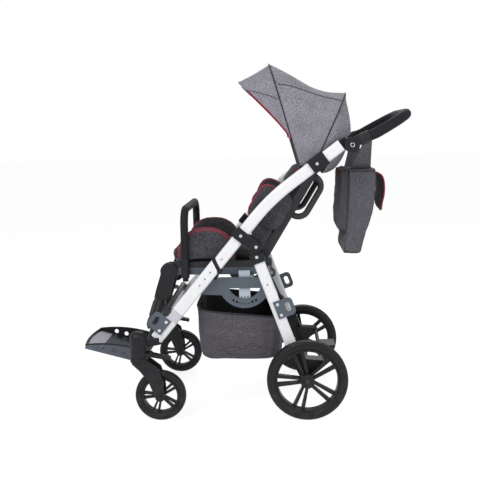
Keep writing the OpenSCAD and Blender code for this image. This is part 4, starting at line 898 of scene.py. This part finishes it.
flap, flap_area = cloth("bag_rear_flap", flap_skin, 60, 50, 3.0, [BAG_CLOTH, MESH], (0.26, 0.2), True)
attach(flap, "upper_frame")
border = [flap_skin(0.0, v) for v in np.linspace(0.02, 1, 50)]
border += [flap_skin(u, 1.0) for u in np.linspace(0.02, 0.98, 50)]
border += [flap_skin(1.0, v) for v in np.linspace(1, 0.02, 50)]
flap_edge = cords("bag_flap_piping", [border], 2.1, RED, "upper_frame")
sheeted(flap, flap_area, FLAP_WIDTH)

SLING_FROM, SLING_WIDE, SLING_WIDTH, SOCKET_R = 31, 36, 0.056, 19.0  # along the arm, and round its socket
SLING_FOOT, SLING_FOOT_HALF, SLING_SAG = (-200, 116, 869), 37, 4.0
for hand, side in SIDES:
    arm_y = side * ARM_Y
    foot_x, foot_y, foot_z = SLING_FOOT[0], side * SLING_FOOT[1], SLING_FOOT[2]
    top = [HANDLE @ Vector((x, arm_y, SOCKET_R + 0.6)) for x in (SLING_FROM, SLING_FROM + SLING_WIDE)]
    foot = [spot(foot_x + SLING_FOOT_HALF * k, foot_y, foot_z) for k in (1, -1)]

    def band_skin(u, v):
        low, high = foot[0].lerp(foot[1], u), top[0].lerp(top[1], u)
        point = low.lerp(high, v)
        sag = SLING_SAG * math.sin(math.pi * v) * (1 + 0.4 * noise.noise(Vector((u * 2, v * 4, side))))
        return point + Vector((0, -side * sag * MM, 0))

    band, band_area = cloth(f"bag_band_{hand}", band_skin, 16, 40, 2.6, [BAG_CLOTH], (SLING_WIDTH, 0.14))
    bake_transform(band)
    if side > 0:
        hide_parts("bag_straps")
    sheeted(band, band_area, SLING_WIDTH)
    bm = bmesh.new()
    line = [bm.verts.new(HANDLE @ Vector((SLING_FROM + SLING_WIDE * k / 12, arm_y, SOCKET_R + 0.3)))
            for k in range(13)]
    edges = [bm.edges.new(pair) for pair in zip(line, line[1:])]
    turned(bm, line + edges, HANDLE @ Vector((0, arm_y, 0)), HANDLE.to_3x3() @ Vector((1, 0, 0)), 40)
    loop = piece(f"bag_band_loop_{hand}", bm, [WEB], "handle")
    walled(loop, 2.2)


# Foam grip: one sleeve along the arms, up the elbows and round the end of the handle

GRIP_FROM, GRIP_ELBOW, GRIP_R = 69, 88.688, 18.0
ELBOW_R, KICK, END_L, END_BEND = 60.0, math.radians(7), 130.0, 130.0


def grip_line():
    """Points of the handle's middle line in its own frame, from the left arm's socket to the right one's."""
    line = [(x, ARM_Y, 0.0) for x in np.linspace(GRIP_FROM, GRIP_ELBOW, 12)]
    line += [(GRIP_ELBOW + ELBOW_R * math.sin(a), ARM_Y, -ELBOW_R * (1 - math.cos(a)))
             for a in np.linspace(KICK / 8, KICK, 8)]
    start_x, start_z = line[-1][0], line[-1][2]
    for b in np.linspace(0.03, math.pi / 2, 24):
        u, y = END_L - END_BEND + END_BEND * math.sin(b), ARM_Y - END_BEND + END_BEND * math.cos(b)
        line.append((start_x + u * math.cos(KICK), y, start_z - u * math.sin(KICK)))
    return [HANDLE @ Vector(q) for q in line + [(x, -y, z) for x, y, z in reversed(line)]]


sleeve = piece("handle_grip_sleeve", bead(bmesh.new(), grip_line(), GRIP_R, rounds=8), [FOAM], "handle")
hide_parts("handle_grip")


# Back cover: a padded panel on each side below the wing

PANEL_Y, PANEL_CROWN, PANEL_LOW, PANEL_TOP, PANEL_REAR = 175.0, 5.0, 8, 128, -22
PANEL_FRONT = ((PANEL_LOW, 35, 74, PANEL_TOP), (-48, -74, -78, -86))


def side_panel(side):
    def skin(u, v):
        x = mixed(PANEL_LOW, PANEL_TOP, u)
        crown = PANEL_CROWN * math.sin(math.pi * u) ** 0.6 * math.sin(math.pi * v) ** 0.6
        return BACK @ Vector((x, side * (PANEL_Y + crown), mixed(PANEL_REAR, np.interp(x, *PANEL_FRONT), v)))
    return skin


for hand, side in SIDES:
    cover_panel, _ = cloth(f"back_side_panel_{hand}", side_panel(side), 24, 16, 5.0, [CHARCOAL_PALE],
                           (0.12, 0.07), side < 0)
    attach(cover_panel, "backrest")


# Rear curtain: cloth that hangs from the drape's hem and sweeps forwards to the head of the backrest

CURTAIN = [(-157, 993), (-159, 960), (-151, 925), (-136, 896), (-113, 869), (-82, 854), (-64, 858)]
CURTAIN_HALF, CURTAIN_IN, CURTAIN_FOLD, CURTAIN_WIDTH = 150, 8, 2.2, 0.282


def curtain_skin(u, v):
    out = 2 * u - 1
    belly = 1 - abs(out) ** 3
    x, z = (mixed(mixed(first, last, v), deep, belly)
            for first, last, deep in zip(CURTAIN[0], CURTAIN[-1], open_curve(CURTAIN, v)))
    fold = CURTAIN_FOLD * math.sin(math.pi * v) * noise.noise(Vector((u * 6, v * 2.5, 4.2)))
    return spot(x + fold, out * (CURTAIN_HALF - CURTAIN_IN * v), z)


curtain, curtain_area = cloth("canopy_rear_curtain", curtain_skin, 60, 40, 1.8, CANOPY_CLOTH, (0.29, 0.21))
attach(curtain, "upper_frame")
curtain_hem = cords("canopy_curtain_hem", [row(curtain_skin, 60, 1.0)], 2.0, MELANGE, "upper_frame")
sheeted(curtain, curtain_area, CURTAIN_WIDTH)


# Tyres: a turned section with ribs, two grooves and a bead at the rim

TYRE_HALF = [(-0.66, 0.0), (-0.82, 0.1), (-0.97, 0.34), (-1.0, 0.55), (-0.97, 0.72), (-0.88, 0.86),
             (-0.74, 0.93), (-0.62, 0.963), (-0.44, 0.985), (-0.4, 0.94), (-0.34, 0.94), (-0.3, 0.993),
             (-0.07, 1.0), (-0.045, 0.955)]
TYRE_SECTION = TYRE_HALF + [(-a, b) for a, b in reversed(TYRE_HALF)]
WHEEL_Y = 280.0


def tyre(name, body, x, y, radius, rim, width):
    bm = bmesh.new()
    line = [bm.verts.new(spot(x, y + width / 2 * a, radius + rim + (radius - rim) * b))
            for a, b in TYRE_SECTION]
    edges = [bm.edges.new(pair) for pair in zip(line, line[1:] + line[:1])]
    turned(bm, line + edges, spot(x, y, radius), (0, 1, 0), 120)
    made = piece(name, bm, [TYRE], body)
    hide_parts(name.replace("_tread", "_tyre"))


for hand, side in SIDES:
    tyre(f"rear_tread_{hand}", f"rear_wheel_{hand}", 0, side * WHEEL_Y, 142.5, 112, 40)
    tyre(f"front_tread_{hand}", f"front_wheel_{hand}", 519, side * WHEEL_Y, 90, 66, 34)


# Small trims

def ring(name, centre, axis, radius, thick, finish, body):
    bm = bmesh.new()
    turn = Vector((0, 0, 1)).rotation_difference(Vector(axis)).to_matrix().to_4x4()
    bmesh.ops.create_circle(bm, segments=10, radius=thick * MM, matrix=Matrix.Translation((radius * MM, 0, 0))
                            @ Matrix.Rotation(math.pi / 2, 4, "X"))
    turned(bm, bm.verts[:] + bm.edges[:], (0, 0, 0), (0, 0, 1), 48)
    bmesh.ops.transform(bm, matrix=Matrix.Translation(centre) @ turn, verts=bm.verts)
    return piece(name, bm, [finish], body)


for hand, side in SIDES:
    low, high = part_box(f"handle_button_{hand}")
    hub = spot(HUB_X, 0, HUB_Z)
    centre = (hub.x, high.y if side > 0 else low.y, hub.z)
    ring(f"handle_ring_{hand}", centre, (0, 1, 0), 6.6, 1.3, BOLT, f"handle_button_{hand}")

TRAY_RIM_R, TRAY_RIM_X, TRAY_RIM_H, TRAY_L, TRAY_W, TRAY_ARC = 470.0, 50.0, 48.0, 240.0, 250.0, 600.0
STRAP_IN, STRAP_UP, STRAP_R = 2.5, 0.6, 3.6
PANEL_HALF, PANEL_FROM, PANEL_SHORT, PANEL_UP = 114, 172, 8, 7.0
RIB_X, RIB_SIZE, RIB_Z, RIB_FOOT = (62, 150), (30, 190, 8.4), -4, 0.55


def tray_rim(x):
    return TRAY_RIM_H - TRAY_RIM_R + math.sqrt(max(0.0, TRAY_RIM_R ** 2 - (x - TRAY_RIM_X) ** 2))


def tray_front(y):
    return TRAY_L - TRAY_ARC + math.sqrt(TRAY_ARC ** 2 - y * y)


corner_x = tray_front(TRAY_W / 2)
swing = math.degrees(math.asin(TRAY_W / 2 / TRAY_ARC))
strap_y, strap_arc = TRAY_W / 2 - STRAP_IN, TRAY_ARC - STRAP_IN
plan = [(x, strap_y) for x in np.linspace(1, corner_x, 40)]
plan += oval((TRAY_L - TRAY_ARC, 0), (strap_arc, strap_arc), swing, -swing, 50)
plan += [(x, -strap_y) for x in np.linspace(corner_x, 1, 40)]
strap = [TRAY @ Vector((x, y, tray_rim(x) + STRAP_UP)) for x, y in plan]
cords("footplate_edge_strap", [strap], STRAP_R, WEB, "foot_tray")


def floor_panel(u, v):
    y = (2 * v - 1) * PANEL_HALF
    return TRAY @ Vector((mixed(PANEL_FROM, tray_front(y) - PANEL_SHORT, u), y, PANEL_UP))


panel, _ = cloth("footplate_floor_panel", floor_panel, 12, 40, 1.4, [PANEL], (0.06, 0.23))
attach(panel, "foot_tray")
bm = bmesh.new()
for x in RIB_X:
    for vert in bmesh.ops.create_cube(bm, size=1.0)["verts"]:
        taper = 1.0 if vert.co.z > 0 else RIB_FOOT
        vert.co = TRAY @ Vector((x + RIB_SIZE[0] * vert.co.x * taper, RIB_SIZE[1] * vert.co.y,
                                 RIB_Z + RIB_SIZE[2] * vert.co.z))
softened(bm, 0.0015)
piece("footplate_under_ribs", bm, [PLASTIC], "foot_tray")


# Stage: pale floor, soft studio light and the camera of the photograph

floor_bm = bmesh.new()
bmesh.ops.create_grid(floor_bm, x_segments=1, y_segments=1, size=30.0)
floor_finish = Finish("floor", Base_Color=(0.86, 0.86, 0.87, 1), Roughness=0.9)
floor = piece("floor", floor_bm, [floor_finish.material])
floor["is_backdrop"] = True
path = floor_finish.node("ShaderNodeLightPath").socket.node
seen = Value(floor_finish, path.outputs["Is Camera Ray"]) + Value(floor_finish, path.outputs["Is Glossy Ray"])
glow = floor_finish.node("ShaderNodeEmission", {}, {"Color": (1, 1, 1, 1), "Strength": 1.2})
cover = floor_finish.node("ShaderNodeMixShader", {}, {0: seen * 0.72, 2: glow})
floor_finish.tree.links.new(floor_finish.shader.outputs[0], cover.socket.node.inputs[1])
floor_finish.tree.links.new(cover.socket, floor_finish.tree.nodes["Material Output"].inputs["Surface"])

world = bpy.data.worlds.new("studio")
scene.world = world
world.use_nodes = True
sky = world.node_tree
sky.nodes.clear()
rays, join, out = (sky.nodes.new(f"ShaderNode{kind}") for kind in ("LightPath", "MixShader", "OutputWorld"))
sky.links.new(rays.outputs["Is Camera Ray"], join.inputs[0])
for slot, colour, strength in ((1, (0.96, 0.97, 1.0, 1), 0.5), (2, (1, 1, 1, 1), 1.0)):
    light = sky.nodes.new("ShaderNodeBackground")
    light.inputs["Color"].default_value, light.inputs["Strength"].default_value = colour, strength
    sky.links.new(light.outputs[0], join.inputs[slot])
sky.links.new(join.outputs[0], out.inputs["Surface"])


def lamp(name, size, power, place_at, aim):
    data = bpy.data.lights.new(name, "AREA")
    data.shape, data.size, data.energy = "DISK", size, power
    made = bpy.data.objects.new(name, data)
    scene.collection.objects.link(made)
    made.location = place_at
    made.rotation_mode = "QUATERNION"
    made.rotation_quaternion = (Vector(aim) - Vector(place_at)).to_track_quat("-Z", "Y")


lamp("key", 2.2, 70, (1.6, 2.4, 2.9), (0, 0, 0.6))
lamp("fill", 2.6, 34, (-2.4, 2.2, 1.8), (0, 0, 0.6))
lamp("back", 2.0, 36, (-0.4, -2.6, 2.4), (0, 0, 0.7))

CAMERA_AT, CAMERA_LENS, CAMERA_SENSOR = (89.116, 2864.4, 1000.1), 57.08, 36.0
camera = bpy.data.objects.new("camera", bpy.data.cameras.new("camera"))
scene.collection.objects.link(camera)
yaw, pitch, roll = math.radians(3.05), math.radians(7.90), math.radians(-1.18)
ahead = Vector((math.sin(yaw) * math.cos(pitch), -math.cos(yaw) * math.cos(pitch), -math.sin(pitch)))
right = ahead.cross(Vector((0, 0, 1))).normalized()
up = right.cross(ahead)
right, up = math.cos(roll) * right + math.sin(roll) * up, math.cos(roll) * up - math.sin(roll) * right
turn = Matrix((right, up, -ahead)).transposed().to_4x4()
camera.matrix_world = Matrix.Translation(spot(*CAMERA_AT)) @ turn
camera.data.lens, camera.data.sensor_width = CAMERA_LENS, CAMERA_SENSOR
scene.camera = camera
scene.view_settings.view_transform = "Standard"

low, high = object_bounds()
